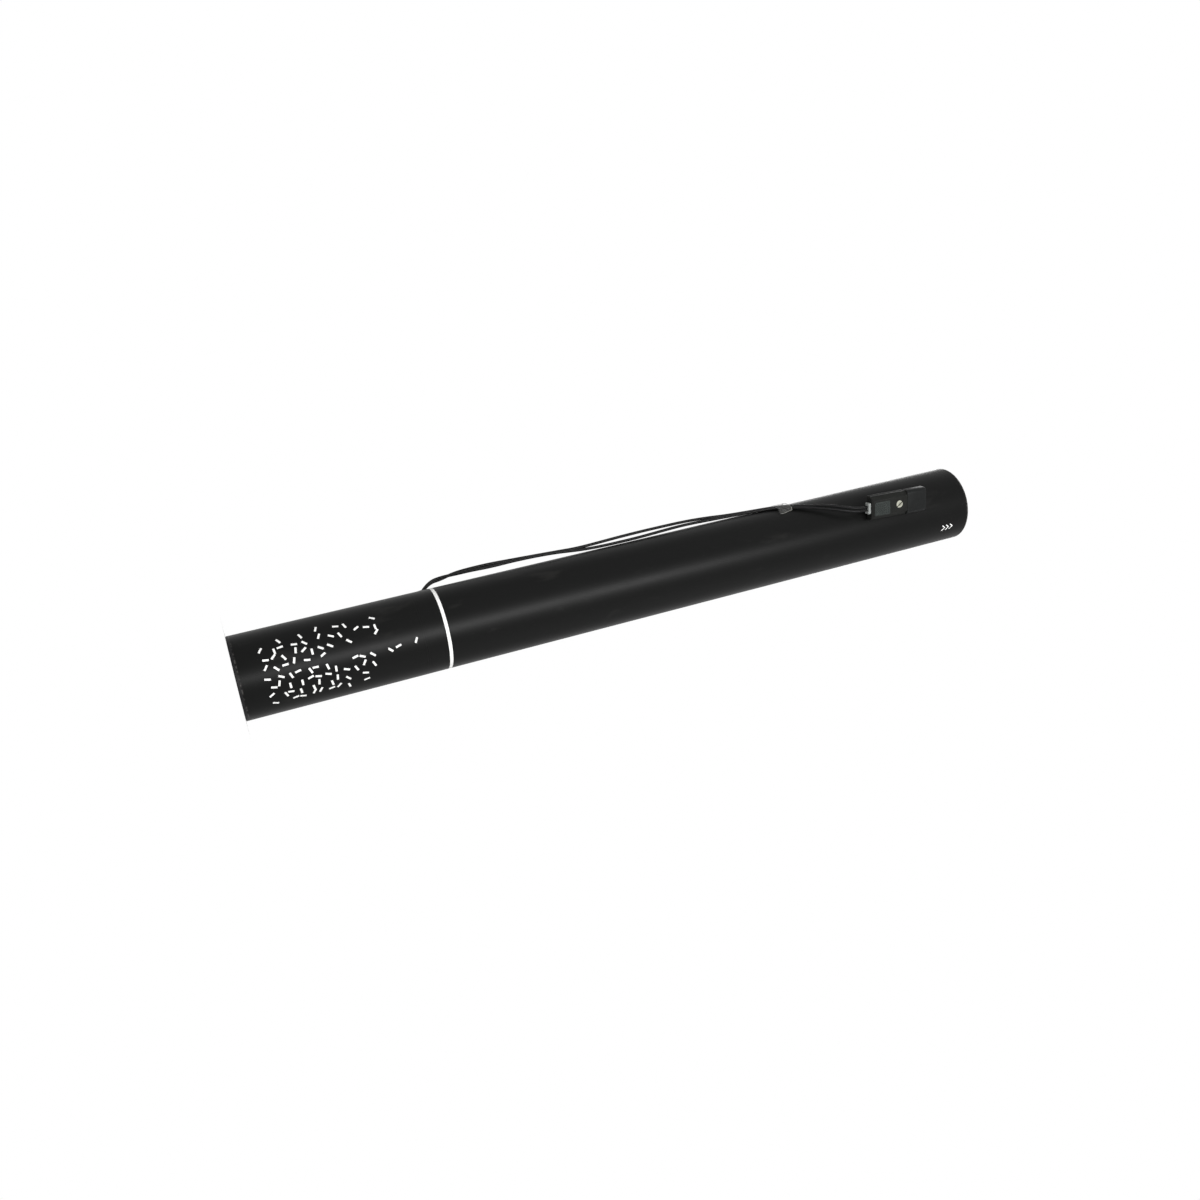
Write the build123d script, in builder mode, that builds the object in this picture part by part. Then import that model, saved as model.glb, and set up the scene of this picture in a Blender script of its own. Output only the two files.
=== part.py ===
from build123d import *
import math
import os

os.makedirs("parts", exist_ok=True)

# Tube, its paper wrap and the base label
overall_length = 500.0
wrap_radius = 25.3
wrap_thickness = 0.35
tube_wall = 1.75
label_margin = 6.0
wrap_gap = 1.2

# Fits
glue_gap = 0.05
rest_gap = 0.3
slide_gap = 0.5

# Base cap and bottle seat
cap_flange = 1.6
cap_recess = 0.8
cap_rim = 4.5
cap_floor = 2.4
cap_skirt = 14.0
cap_wall = 1.8
seat_floor = 3.0
seat_height = 12.0
seat_wall = 2.75

# Gas bottle, rupture disc and neck nut
bottle_wall = 1.5
bottle_edge = 4.0
bottle_body = 74.0
bottle_shoulder = 14.0
neck_wall = 2.5
neck_length = 12.0
disc_thickness = 0.3
nut_height = 10.5
nut_lip = 2.2

# Valve block
block_wall = 2.5
lever_room = 1.6
tower_step = 1.0
nut_engagement = 7.5
chamber_height = 1.8
port_count = 4
bulkhead_height = 8.0
cup_wall = 2.2
seal_radius = 1.4
cap_screw_height = 4.0
cap_vent_radius = 1.0
driver_slot_width = 1.2
driver_slot_depth = 1.2

# Striker and its spring
tip_clearance = 2.5
point_length = 4.0
needle_length = 5.0
guide_length = 13.0
guide_clearance = 0.08
stub_length = 4.0
striker_stroke = 4.0
spring_length = 16.0
spring_wire = 0.8
spring_turns = 6

# Sear, fuse link and heater
sear_swing = 15.0
sear_thickness = 4.0
lever_standoff = 3.0
lever_depth = 3.2
pivot_rise = 6.0
pivot_boss = 2.6
lever_drop = 7.0
nose_gap = 0.25
nose_drop = 0.15
nose_height = 2.45
sear_side_gap = 0.15
ear_thickness = 2.0
sear_pin_radius = 1.25
pin_clearance = 0.05
bulkhead_rise = 10.0
link_radius = 0.6
link_rise = 1.6
link_seat = 1.2
knot_radius = 1.2
heater_radius = 1.0
heater_length = 3.6
heater_lead_radius = 0.35

# Wire exit, terminal block
exit_angle = 131.0
exit_rise = 16.8
exit_slope = 45.0
grommet_radius = 2.9
grommet_inside = 4.5
grommet_outside = 1.5
saddle_radius = 4.4
saddle_thickness = 0.5
terminal_depth = 7.0
terminal_width = 10.0
terminal_height = 11.0
terminal_chamfer = 6.0
terminal_screw_radius = 1.2
terminal_screw_length = 3.0
terminal_screw_height = 2.6

# Barrel load
screen_rise = 3.0
screen_thickness = 1.5
screen_hole_radius = 1.3
screen_pitch = 4.6
wad_height = 10.0
slip_length = 54.0
lid_thickness = 2.0
lid_recess = 2.0
lid_rim = 1.2
lid_dish = 0.8

# Wires and tape
wire_diameter = 1.9
wire_pitch = 2.06
hole_clearance = 0.02
tape_height = 359.5
tape_width = 10.0
tape_thickness = 0.2
tape_low = 69.5
tape_step_low = 73.5
tape_top_low = 78.5
tape_top_high = 102.0
tape_step_high = 107.5
tape_high = 113.0
wire_lift = 0.15
first_run_a = 7.0
first_run_b = 7.0
last_run = 7.1

# Plug, in its own frame: length, width, depth
plug_lift = 7.55
plug_angle = 40.4
plug_height = 438.6
plug_turn = 6.2
plug_tilt = 2.5
plug_tail = 21.6
plug_joint = 6.3
plug_front = 21.4
plug_half_width = 8.0
plug_half_depth = 4.0
plug_chamfer = 2.6
plug_bevel = 1.2
plug_wall = 1.4
plug_side_wall = 2.6
hood_half_width = 8.2
hood_half_depth = 4.2
hood_edge = 2.6
hood_wall = 1.5
hood_partition = 3.5
plug_pin_spacing = 7.0
plug_pin_radius = 0.8
plug_pin_reach = 19.0
barrel_radius = 1.2
barrel_tail = 8.0
barrel_length = 5.0
pillar_radius = 2.4
pillar_foot = 3.4
pillar_foot_height = 0.9
screw_radius = 1.2
screw_head_radius = 2.5
screw_head_height = 1.2
screw_head_seat = 0.9
screw_slot = 0.7
screw_turn = 35.0
plug_nut_radius = 2.5
plug_nut_height = 1.6
pad_length = 12.0
pad_width = 9.2
pad_tail_margin = 1.7
pad_aside = -0.6
pad_height = 0.35
dot_radius = 0.45
dot_height = 0.3
dot_columns = 7
dot_rows = 5
dot_pitch = 1.6
clamp_half_width = 3.75
clamp_half_depth = 2.0
clamp_length = 1.8
clamp_neck = 0.6
clamp_flange = 1.2
pin_screw_radius = 0.5
pin_screw_head = 0.9
pin_screw_height = 1.0

# Levels and radii that follow from the sizes above
rising = (Align.CENTER, Align.CENTER, Align.MIN)
tube_outer = wrap_radius - wrap_thickness
tube_inner = tube_outer - tube_wall
wire_radius = wire_diameter / 2
wire_lie = wrap_radius + wire_lift + wire_radius
tape_end = tape_height + tape_width
block_radius = tube_inner - lever_standoff - lever_depth - 2 * knot_radius - lever_room
tower_radius = block_radius - tower_step
nut_radius = block_radius - block_wall
neck_radius = nut_radius * 2 / 3
neck_bore = neck_radius - neck_wall
guide_radius = nut_radius * 8 / 21
needle_radius = guide_radius / 2
stub_radius = guide_radius * 0.575
spring_radius = guide_radius * 0.8
cap_screw_radius = guide_radius * 1.5
port_circle = nut_radius * 0.78
port_radius = nut_radius * 0.15
floor_top = cap_recess + cap_floor
skirt_outer = tube_inner - glue_gap
bottle_radius = skirt_outer - cap_wall - seat_wall - 2 * glue_gap
bottle_bottom = floor_top + seat_floor
bottle_top = bottle_bottom + bottle_body
neck_foot = bottle_top + bottle_shoulder
neck_top = neck_foot + neck_length
disc_top = neck_top + disc_thickness
nut_top = disc_top + nut_lip
block_bottom = nut_top - nut_engagement
exit_height = block_bottom + exit_rise
label_top = exit_height - saddle_radius - label_margin
wrap_bottom = label_top + wrap_gap
tip_height = disc_top + tip_clearance
needle_height = tip_height + point_length
shoulder_height = needle_height + needle_length
guide_height = shoulder_height + guide_radius - needle_radius
guide_top = guide_height + guide_length
spring_top = guide_top + spring_length
block_top = spring_top + cap_screw_height
bulkhead_bottom = shoulder_height + bulkhead_rise
bulkhead_top = bulkhead_bottom + bulkhead_height
cup_top = block_top + screen_rise
screen_top = cup_top + screen_thickness
wad_bottom = screen_top + rest_gap
stack_bottom = wad_bottom + wad_height + rest_gap
lid_top = overall_length - lid_recess
lid_bottom = lid_top - lid_thickness
bundle_side = (tube_inner - slide_gap) / math.sqrt(2) - rest_gap / 2
lever_inner = block_radius + lever_standoff
lever_outer = lever_inner + lever_depth
pivot_y = lever_inner + lever_depth / 2
pivot_z = shoulder_height + pivot_rise
lever_bottom = shoulder_height - lever_drop
nose_top = guide_height - nose_drop
nose_bottom = shoulder_height - nose_drop - nose_height
link_height = lever_bottom + link_rise


def around(radius, angle, height):
    """A point at an angle about the tube, from the front (-Y) towards the wires' side (-X)."""
    turn = math.radians(angle)
    return Vector(-radius * math.sin(turn), -radius * math.cos(turn), height)


def smooth_route(points):
    """Corner radii as large as the runs beside each corner allow."""
    radii = []
    for before, corner, after in zip(points, points[1:], points[2:]):
        turn = math.radians((corner - before).get_angle(after - corner))
        run = min((corner - before).length, (after - corner).length)
        radii.append(0.45 * run / math.tan(turn / 2))
    return radii


# Base cap: flange flush with the tube, skirt glued inside it, recessed underside
with BuildPart() as base_cap:
    Cylinder(wrap_radius, cap_flange, align=rising)
    Cylinder(skirt_outer, cap_flange + cap_skirt, align=rising)
    with Locations((0, 0, floor_top)):
        Cylinder(skirt_outer - cap_wall, cap_flange + cap_skirt - floor_top, align=rising, mode=Mode.SUBTRACT)
    Cylinder(wrap_radius - cap_rim, cap_recess, align=rising, mode=Mode.SUBTRACT)
    chamfer(base_cap.faces().sort_by(Axis.Z)[0].outer_wire().edges(), cap_flange / 4)
base_cap.part.label = "base_cap"
export_step(base_cap.part, "parts/base_cap.step")

# Bottle seat: soft cup on the cap floor that centres the bottle
with BuildPart() as bottle_seat:
    with Locations((0, 0, floor_top)):
        Cylinder(skirt_outer - cap_wall - glue_gap, seat_height, align=rising)
    with Locations((0, 0, bottle_bottom)):
        Cylinder(bottle_radius + glue_gap, seat_height - seat_floor, align=rising, mode=Mode.SUBTRACT)
bottle_seat.part.label = "bottle_seat"
export_step(bottle_seat.part, "parts/bottle_seat.step")

# Gas bottle: one drawn shell with a rounded foot, an elliptic shoulder and a straight neck
inner_radius = bottle_radius - bottle_wall
inner_edge = bottle_edge - bottle_wall
with BuildPart() as gas_bottle:
    with BuildSketch(Plane.XZ):
        with BuildLine():
            foot = Line((0, bottle_bottom), (bottle_radius - bottle_edge, bottle_bottom))
            heel = JernArc(foot @ 1, (1, 0), bottle_edge, 90)
            side = Line(heel @ 1, (bottle_radius, bottle_top))
            EllipticalCenterArc(
                (neck_radius, bottle_top), bottle_radius - neck_radius, bottle_shoulder, arc_size=90
            )
            Polyline(
                (neck_radius, neck_foot),
                (neck_radius, neck_top),
                (neck_bore, neck_top),
                (neck_bore, neck_foot - bottle_wall),
            )
            EllipticalCenterArc(
                (neck_bore, bottle_top), inner_radius - neck_bore, bottle_shoulder - bottle_wall, arc_size=90
            )
            inner_side = Line((inner_radius, bottle_top), (inner_radius, bottle_bottom + bottle_edge))
            inner_heel = JernArc(inner_side @ 1, (0, -1), inner_edge, -90)
            Polyline(inner_heel @ 1, (0, bottle_bottom + bottle_wall), (0, bottle_bottom))
        make_face()
    revolve(axis=Axis.Z)
gas_bottle.part.label = "gas_bottle"
export_step(gas_bottle.part, "parts/gas_bottle.step")

# Rupture disc: thin sheet across the neck
with BuildPart() as rupture_disc:
    with Locations((0, 0, neck_top)):
        Cylinder(neck_radius, disc_thickness, align=rising)
rupture_disc.part.label = "rupture_disc"
export_step(rupture_disc.part, "parts/rupture_disc.step")

# Neck nut: clamps the disc on the neck with its lip, and carries the valve block
with BuildPart() as neck_nut:
    with Locations((0, 0, nut_top - nut_height)):
        Cylinder(nut_radius, nut_height, align=rising)
        Cylinder(neck_radius + glue_gap, nut_height - nut_lip, align=rising, mode=Mode.SUBTRACT)
        Cylinder(neck_bore, nut_height, align=rising, mode=Mode.SUBTRACT)
neck_nut.part.label = "neck_nut"
export_step(neck_nut.part, "parts/neck_nut.step")

# Valve block: body over the nut, bulkhead across the tube, cup wall under the screen, sear ears
slot_half = sear_thickness / 2 + sear_side_gap
ear_middle = slot_half + ear_thickness / 2
nose_reach = pivot_y - needle_radius - nose_gap
swing = math.radians(sear_swing)
slot_bottom = pivot_z - nose_reach * math.sin(swing) - (pivot_z - nose_bottom) * math.cos(swing) - rest_gap
slot_top = nose_top + rest_gap + pivot_boss / 2
seal_middle = bulkhead_bottom + bulkhead_height / 2
with BuildPart() as valve_block:
    with Locations((0, 0, block_bottom)):
        Cylinder(block_radius, bulkhead_bottom - block_bottom, align=rising)
    with Locations((0, 0, bulkhead_bottom)):
        Cylinder(skirt_outer, cup_top - bulkhead_bottom, align=rising)
    with Locations((0, 0, bulkhead_top)):
        Cylinder(skirt_outer - cup_wall, cup_top - bulkhead_top, align=rising, mode=Mode.SUBTRACT)
        Cylinder(tower_radius, block_top - bulkhead_top, align=rising)
    ear_inside = block_radius - ear_thickness
    ear_outside = pivot_y + pivot_boss
    ear_bottom = pivot_z - pivot_boss
    for ear_side in (-1, 1):
        with Locations((ear_side * ear_middle, ear_inside, ear_bottom)):
            Box(
                ear_thickness,
                ear_outside - ear_inside,
                bulkhead_bottom - ear_bottom,
                align=(Align.CENTER, Align.MIN, Align.MIN),
            )
    with Locations(Location((0, pivot_y, pivot_z), (0, 90, 0))):
        Cylinder(sear_pin_radius + hole_clearance, 2 * (ear_middle + ear_thickness), mode=Mode.SUBTRACT)
    with Locations((0, 0, block_bottom)):
        Cylinder(nut_radius + glue_gap, nut_engagement, align=rising, mode=Mode.SUBTRACT)
    with Locations((0, 0, nut_top)):
        Cylinder(nut_radius, chamber_height, align=rising, mode=Mode.SUBTRACT)
        Cylinder(guide_radius + guide_clearance, block_top - nut_top, align=rising, mode=Mode.SUBTRACT)
        with PolarLocations(port_circle, port_count, start_angle=180 / port_count):
            Cylinder(port_radius, block_top - nut_top, align=rising, mode=Mode.SUBTRACT)
    with Locations((0, 0, spring_top)):
        Cylinder(cap_screw_radius + glue_gap, cap_screw_height, align=rising, mode=Mode.SUBTRACT)
    with Locations((0, 0, slot_bottom)):
        Box(
            2 * slot_half,
            block_radius + rest_gap,
            slot_top - slot_bottom,
            align=(Align.CENTER, Align.MIN, Align.MIN),
            mode=Mode.SUBTRACT,
        )
    with Locations(Location((0, block_radius, link_height), (90, 0, 0))):
        Cylinder(link_radius + hole_clearance, 2 * link_seat, mode=Mode.SUBTRACT)
    with BuildSketch(Plane.XY.offset(seal_middle - seal_radius - glue_gap)):
        Circle(tube_inner)
        Circle(tube_inner - 2 * seal_radius - 2 * glue_gap, mode=Mode.SUBTRACT)
    extrude(amount=2 * (seal_radius + glue_gap), mode=Mode.SUBTRACT)
valve_block.part.label = "valve_block"
export_step(valve_block.part, "parts/valve_block.step")

# Block seal: rubber ring in the bulkhead groove
with BuildPart() as block_seal:
    with Locations((0, 0, seal_middle)):
        Torus(tube_inner - glue_gap - seal_radius, seal_radius)
block_seal.part.label = "block_seal"
export_step(block_seal.part, "parts/block_seal.step")

# Striker: pointed needle, cone that rests on the sear nose, guide, spring stub
with BuildPart() as striker:
    with BuildSketch(Plane.XZ):
        with BuildLine():
            Polyline(
                (0, tip_height),
                (needle_radius, needle_height),
                (needle_radius, shoulder_height),
                (guide_radius, guide_height),
                (guide_radius, guide_top),
                (stub_radius, guide_top),
                (stub_radius, guide_top + stub_length),
                (0, guide_top + stub_length),
                close=True,
            )
        make_face()
    revolve(axis=Axis.Z)
striker.part.label = "striker"
export_step(striker.part, "parts/striker.step")


def coil_point(quarter):
    """Place and direction of the spring's centre line after so many quarter turns."""
    turn = quarter * math.pi / 2
    climb = (spring_length - spring_wire) / (spring_turns * 2 * math.pi)
    place = Vector(
        spring_radius * math.cos(turn),
        spring_radius * math.sin(turn),
        guide_top + spring_wire / 2 + climb * turn,
    )
    heading = Vector(-spring_radius * math.sin(turn), spring_radius * math.cos(turn), climb)
    return place, heading.normalized()


# Striker spring: quarter turns, each two arcs that share a tangent
with BuildPart() as striker_spring:
    with BuildLine() as coil:
        for quarter in range(4 * spring_turns):
            start, start_heading = coil_point(quarter)
            end, end_heading = coil_point(quarter + 1)
            span = end - start
            headings = start_heading + end_heading
            spread = 2 * (1 - start_heading.dot(end_heading))
            reach = math.sqrt(span.dot(headings) ** 2 + spread * span.dot(span)) - span.dot(headings)
            middle = (start + end + (start_heading - end_heading) * (reach / spread)) / 2
            first_arc = TangentArc(start, middle, tangent=start_heading)
            TangentArc(middle, end, tangent=first_arc % 1)
    with BuildSketch(Plane(origin=coil_point(0)[0], z_dir=coil_point(0)[1])):
        Circle(spring_wire / 2)
    sweep(path=coil.wires()[0])
striker_spring.part.label = "striker_spring"
export_step(striker_spring.part, "parts/striker_spring.step")
print("spring gap between turns", round((spring_length - spring_wire) / spring_turns - spring_wire, 2))

# Spring cap: slotted screw plug over the spring, with a vent
with BuildPart() as spring_cap:
    with Locations((0, 0, spring_top)):
        Cylinder(cap_screw_radius, cap_screw_height, align=rising)
        Cylinder(cap_vent_radius, cap_screw_height, align=rising, mode=Mode.SUBTRACT)
    with Locations((0, 0, block_top)):
        Box(2 * cap_screw_radius, driver_slot_width, 2 * driver_slot_depth, mode=Mode.SUBTRACT)
spring_cap.part.label = "spring_cap"
export_step(spring_cap.part, "parts/spring_cap.step")

# Sear: hanging lever with a bevelled nose under the striker's cone
with BuildPart() as sear:
    tip_y = needle_radius + nose_gap
    tip_top = shoulder_height - nose_drop
    with BuildSketch(Plane.YZ):
        with BuildLine():
            Polyline(
                (tip_y, nose_bottom),
                (tip_y, tip_top),
                (tip_y + nose_top - tip_top, nose_top),
                (lever_inner, nose_top),
                (lever_inner, pivot_z),
                (lever_outer, pivot_z),
                (lever_outer, lever_bottom),
                (lever_inner, lever_bottom),
                (lever_inner, nose_bottom),
                close=True,
            )
        make_face()
        with Locations((pivot_y, pivot_z)):
            Circle(pivot_boss)
            Circle(sear_pin_radius + pin_clearance, mode=Mode.SUBTRACT)
    extrude(amount=sear_thickness / 2, both=True)
    with Locations(Location((0, pivot_y, link_height), (90, 0, 0))):
        Cylinder(link_radius + pin_clearance, 2 * lever_depth, mode=Mode.SUBTRACT)
sear.part.label = "sear"
export_step(sear.part, "parts/sear.step")

# Sear pin: held in the two ears
with BuildPart() as sear_pin:
    with Locations(Location((0, pivot_y, pivot_z), (0, 90, 0))):
        Cylinder(sear_pin_radius, 2 * (slot_half + ear_thickness))
sear_pin.part.label = "sear_pin"
export_step(sear_pin.part, "parts/sear_pin.step")

# Fuse link: nylon line from the block through the lever, knotted outside it
with BuildPart() as fuse_link:
    link_start = block_radius - link_seat
    with Locations(Location((0, link_start, link_height), (-90, 0, 0))):
        Cylinder(link_radius, lever_outer + knot_radius - link_start, align=rising)
    with Locations((0, lever_outer + knot_radius, link_height)):
        Sphere(knot_radius)
fuse_link.part.label = "fuse_link"
export_step(fuse_link.part, "parts/fuse_link.step")

# Heater: small resistor beside the link
heater_x = link_radius + heater_radius + glue_gap
heater_y = block_radius + lever_standoff / 2
heater_bottom = nose_bottom - heater_length - pivot_boss / 2 - rest_gap
with BuildPart() as heater:
    with Locations((heater_x, heater_y, heater_bottom)):
        Cylinder(heater_radius, heater_length, align=rising)
    fillet(heater.edges().filter_by(GeomType.CIRCLE), heater_radius / 3)
heater.part.label = "heater"
export_step(heater.part, "parts/heater.step")

# Wire exit: sloped hole through the tube wall on the wires' side
exit_radial = around(1, exit_angle, 0)
exit_tangent = around(1, exit_angle + 90, 0)
slope = math.radians(exit_slope)
exit_heading = exit_radial * math.cos(slope) + Vector(0, 0, math.sin(slope))
exit_plane = Plane(
    origin=around(wrap_radius, exit_angle, exit_height), x_dir=exit_tangent, z_dir=exit_heading
)
exit_offsets = [(wire_pitch / 2, 0), (-wire_pitch / 2, 0)]

# Terminal block: sits against the valve block, its sloped face square to the leads
terminal_inner = block_radius - terminal_depth / 2
terminal_outer = block_radius + terminal_depth
terminal_plane = Plane(origin=(0, 0, block_bottom), x_dir=exit_radial, z_dir=(0, 0, 1))
with BuildPart() as terminal_block:
    with BuildSketch(terminal_plane):
        with Locations((terminal_inner, 0)):
            Rectangle(terminal_outer - terminal_inner, terminal_width, align=(Align.MIN, Align.CENTER))
    extrude(amount=terminal_height)
    top_outer_edge = terminal_block.faces().sort_by(Axis.Z)[-1].edges().sort_by(
        lambda edge: edge.center().dot(exit_radial)
    )[-1]
    chamfer(top_outer_edge, terminal_chamfer)
    with Locations((0, 0, block_bottom)):
        Cylinder(block_radius + glue_gap, terminal_height, align=rising, mode=Mode.SUBTRACT)
    screw_plane = Plane(
        origin=exit_radial * terminal_outer + Vector(0, 0, block_bottom + terminal_screw_height),
        x_dir=exit_tangent,
        z_dir=exit_radial,
    )
    with BuildSketch(screw_plane):
        with GridLocations(terminal_width / 2, 0, 2, 1):
            Circle(terminal_screw_radius / 2 + hole_clearance)
    extrude(amount=-terminal_screw_length, mode=Mode.SUBTRACT)
terminal_block.part.label = "terminal_block"
export_step(terminal_block.part, "parts/terminal_block.step")

with BuildPart() as terminal_screws:
    with BuildSketch(screw_plane):
        with GridLocations(terminal_width / 2, 0, 2, 1):
            Circle(terminal_screw_radius / 2)
    extrude(amount=-terminal_screw_length + glue_gap)
    with BuildSketch(screw_plane):
        with GridLocations(terminal_width / 2, 0, 2, 1):
            Circle(terminal_screw_radius)
    extrude(amount=terminal_screw_radius / 2)
terminal_screws.part.label = "terminal_screws"
export_step(terminal_screws.part, "parts/terminal_screws.step")

# Inner leads: from the terminal block's sloped face, through the grommet, to its outer end
slope_distance = (
    wrap_radius * math.cos(slope) + exit_height * math.sin(slope)
    - terminal_outer * math.cos(slope)
    - (block_bottom + terminal_height - terminal_chamfer) * math.sin(slope)
)
with BuildPart() as inner_leads:
    with BuildSketch(exit_plane.offset(grommet_outside)):
        with Locations(*exit_offsets):
            Circle(wire_radius)
    extrude(amount=-grommet_outside - slope_distance)
inner_leads.part.label = "inner_leads"
export_step(inner_leads.part, "parts/inner_leads.step")

# Heater leads: down from the resistor and round the block to the terminal block's side
heater_turn = 180 - math.degrees(math.atan2(-heater_x, heater_y))
terminal_reach = terminal_width / 2 + heater_lead_radius
lead_spread = heater_radius / 2
lead_ring = math.hypot(heater_x, heater_y)
with BuildPart() as heater_leads:
    for lead in (-1, 1):
        lead_radius = lead_ring + lead * lead_spread
        lead_level = heater_bottom - 2 * heater_radius - (lead + 1) * heater_radius
        terminal_side = exit_angle + math.degrees(math.asin(terminal_reach / lead_radius))
        step = (heater_turn - terminal_side) / 3
        lead_points = [
            around(lead_radius, heater_turn, heater_bottom),
            around(lead_radius, heater_turn, lead_level),
            around(lead_radius, heater_turn - step, lead_level),
            around(lead_radius, heater_turn - 2 * step, lead_level),
            around(lead_radius, terminal_side, lead_level),
        ]
        with BuildLine() as lead_path:
            FilletPolyline(*lead_points, radius=heater_radius)
        with BuildSketch(Plane(origin=lead_points[0], z_dir=(0, 0, -1))):
            Circle(heater_lead_radius)
        sweep(path=lead_path.wires()[0])
heater_leads.part.label = "heater_leads"
export_step(heater_leads.part, "parts/heater_leads.step")

# Cardboard tube and its black paper wrap, both with the wire hole
with BuildPart() as cardboard_tube:
    with BuildSketch(Plane.XY.offset(cap_flange)):
        Circle(tube_outer)
        Circle(tube_inner, mode=Mode.SUBTRACT)
    extrude(amount=overall_length - cap_flange)
    with BuildSketch(exit_plane):
        Circle(grommet_radius + glue_gap)
    extrude(amount=2 * grommet_inside, both=True, mode=Mode.SUBTRACT)
cardboard_tube.part.label = "cardboard_tube"
export_step(cardboard_tube.part, "parts/cardboard_tube.step")

with BuildPart() as tube_wrap:
    with BuildSketch(Plane.XY.offset(wrap_bottom)):
        Circle(wrap_radius)
        Circle(tube_outer, mode=Mode.SUBTRACT)
    extrude(amount=overall_length - wrap_bottom)
    with BuildSketch(exit_plane):
        Circle(grommet_radius + glue_gap)
    extrude(amount=2 * grommet_inside, both=True, mode=Mode.SUBTRACT)
tube_wrap.part.label = "tube_wrap"
export_step(tube_wrap.part, "parts/tube_wrap.step")

# Base label: printed wrap round the lower end, below the wire hole
with BuildPart() as base_label:
    with BuildSketch(Plane.XY.offset(cap_flange)):
        Circle(wrap_radius)
        Circle(tube_outer, mode=Mode.SUBTRACT)
    extrude(amount=label_top - cap_flange)
base_label.part.label = "base_label"
export_step(base_label.part, "parts/base_label.step")

# Wire grommet: saddle on the wrap and a sloped nozzle through the wall
saddle_plane = Plane(origin=(0, 0, exit_height), x_dir=exit_tangent, z_dir=exit_radial)
with BuildPart() as wire_grommet:
    with BuildSketch(saddle_plane):
        Circle(saddle_radius)
    extrude(amount=2 * wrap_radius)
    with Locations((0, 0, exit_height)):
        Cylinder(wrap_radius + saddle_thickness, 4 * saddle_radius, mode=Mode.INTERSECT)
        Cylinder(wrap_radius + glue_gap, 4 * saddle_radius, mode=Mode.SUBTRACT)
    with BuildSketch(exit_plane.offset(grommet_outside)):
        Circle(grommet_radius)
    extrude(amount=-grommet_outside - grommet_inside)
    with BuildSketch(exit_plane.offset(grommet_outside)):
        with Locations(*exit_offsets):
            Circle(wire_radius + hole_clearance)
    extrude(amount=-2 * (grommet_outside + grommet_inside), mode=Mode.SUBTRACT)
wire_grommet.part.label = "wire_grommet"
export_step(wire_grommet.part, "parts/wire_grommet.step")

# Gas screen: perforated disc on the cup wall, below the wad
screen_field = skirt_outer - cup_wall - screen_pitch / 2
with BuildPart() as gas_screen:
    with Locations((0, 0, cup_top)):
        Cylinder(skirt_outer, screen_thickness, align=rising)
    with BuildSketch(Plane.XY.offset(cup_top)):
        Circle(screen_hole_radius)
        for ring in range(1, int(screen_field / screen_pitch) + 1):
            with PolarLocations(ring * screen_pitch, 6 * ring):
                Circle(screen_hole_radius)
    extrude(amount=screen_thickness, mode=Mode.SUBTRACT)
gas_screen.part.label = "gas_screen"
export_step(gas_screen.part, "parts/gas_screen.step")

# Wad: felt piston that carries the load up the tube
with BuildPart() as wad:
    with Locations((0, 0, wad_bottom)):
        Cylinder(tube_inner - slide_gap, wad_height, align=rising)
    fillet(wad.edges().filter_by(GeomType.CIRCLE), wad_height / 8)
wad.part.label = "wad"
export_step(wad.part, "parts/wad.step")

# Confetti: four bundles of paper slips in each layer, the colours moving round from layer to layer
confetti_colours = ["orange", "yellow", "blue", "green", "red", "cyan"]
layer_pitch = slip_length + rest_gap
layer_count = int((lid_bottom - stack_bottom) / layer_pitch)
bundle_step = (bundle_side + rest_gap) / 2
bundle_places = [
    (bundle_step, bundle_step),
    (-bundle_step, bundle_step),
    (-bundle_step, -bundle_step),
    (bundle_step, -bundle_step),
]
for colour_index, colour in enumerate(confetti_colours):
    with BuildPart() as bundles:
        for slot in range(4 * layer_count):
            if slot % len(confetti_colours) == colour_index:
                bundle_x, bundle_y = bundle_places[slot % 4]
                with Locations((bundle_x, bundle_y, stack_bottom + slot // 4 * layer_pitch)):
                    Box(bundle_side, bundle_side, slip_length, align=rising)
    bundles.part.label = "confetti_" + colour
    export_step(bundles.part, "parts/confetti_" + colour + ".step")

# Muzzle lid: thin dished disc just inside the rim
with BuildPart() as muzzle_lid:
    with Locations((0, 0, lid_bottom)):
        Cylinder(tube_inner - rest_gap, lid_thickness, align=rising)
    with Locations((0, 0, lid_top)):
        Cylinder(tube_inner - rest_gap - lid_rim, 2 * lid_dish, mode=Mode.SUBTRACT)
muzzle_lid.part.label = "muzzle_lid"
export_step(muzzle_lid.part, "parts/muzzle_lid.step")

# Plug frame: x along the plug to its open end, y across it, z out of its screw side
tilt = math.radians(plug_tilt)
plug_out = around(1, plug_turn, 0)
plug_across = around(1, plug_turn - 90, 0)
plug_plane = Plane(
    origin=around(wrap_radius + plug_lift, plug_angle, plug_height),
    x_dir=plug_across * math.sin(tilt) + Vector(0, 0, math.cos(tilt)),
    z_dir=plug_out,
)
cross_plane = Plane(origin=plug_plane.origin, x_dir=plug_plane.y_dir, z_dir=plug_plane.x_dir)
plug_pin_offset = plug_pin_spacing / 2
cavity_half_width = plug_half_width - plug_side_wall
cavity_half_depth = plug_half_depth - plug_wall
cavity_tail = plug_tail - plug_wall
cavity_front = plug_joint - plug_wall
partition_front = plug_joint + hood_partition
neck_half_width = clamp_half_width - clamp_neck
neck_half_depth = clamp_half_depth - clamp_neck
across_tail = (Align.MIN, Align.CENTER)

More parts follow.
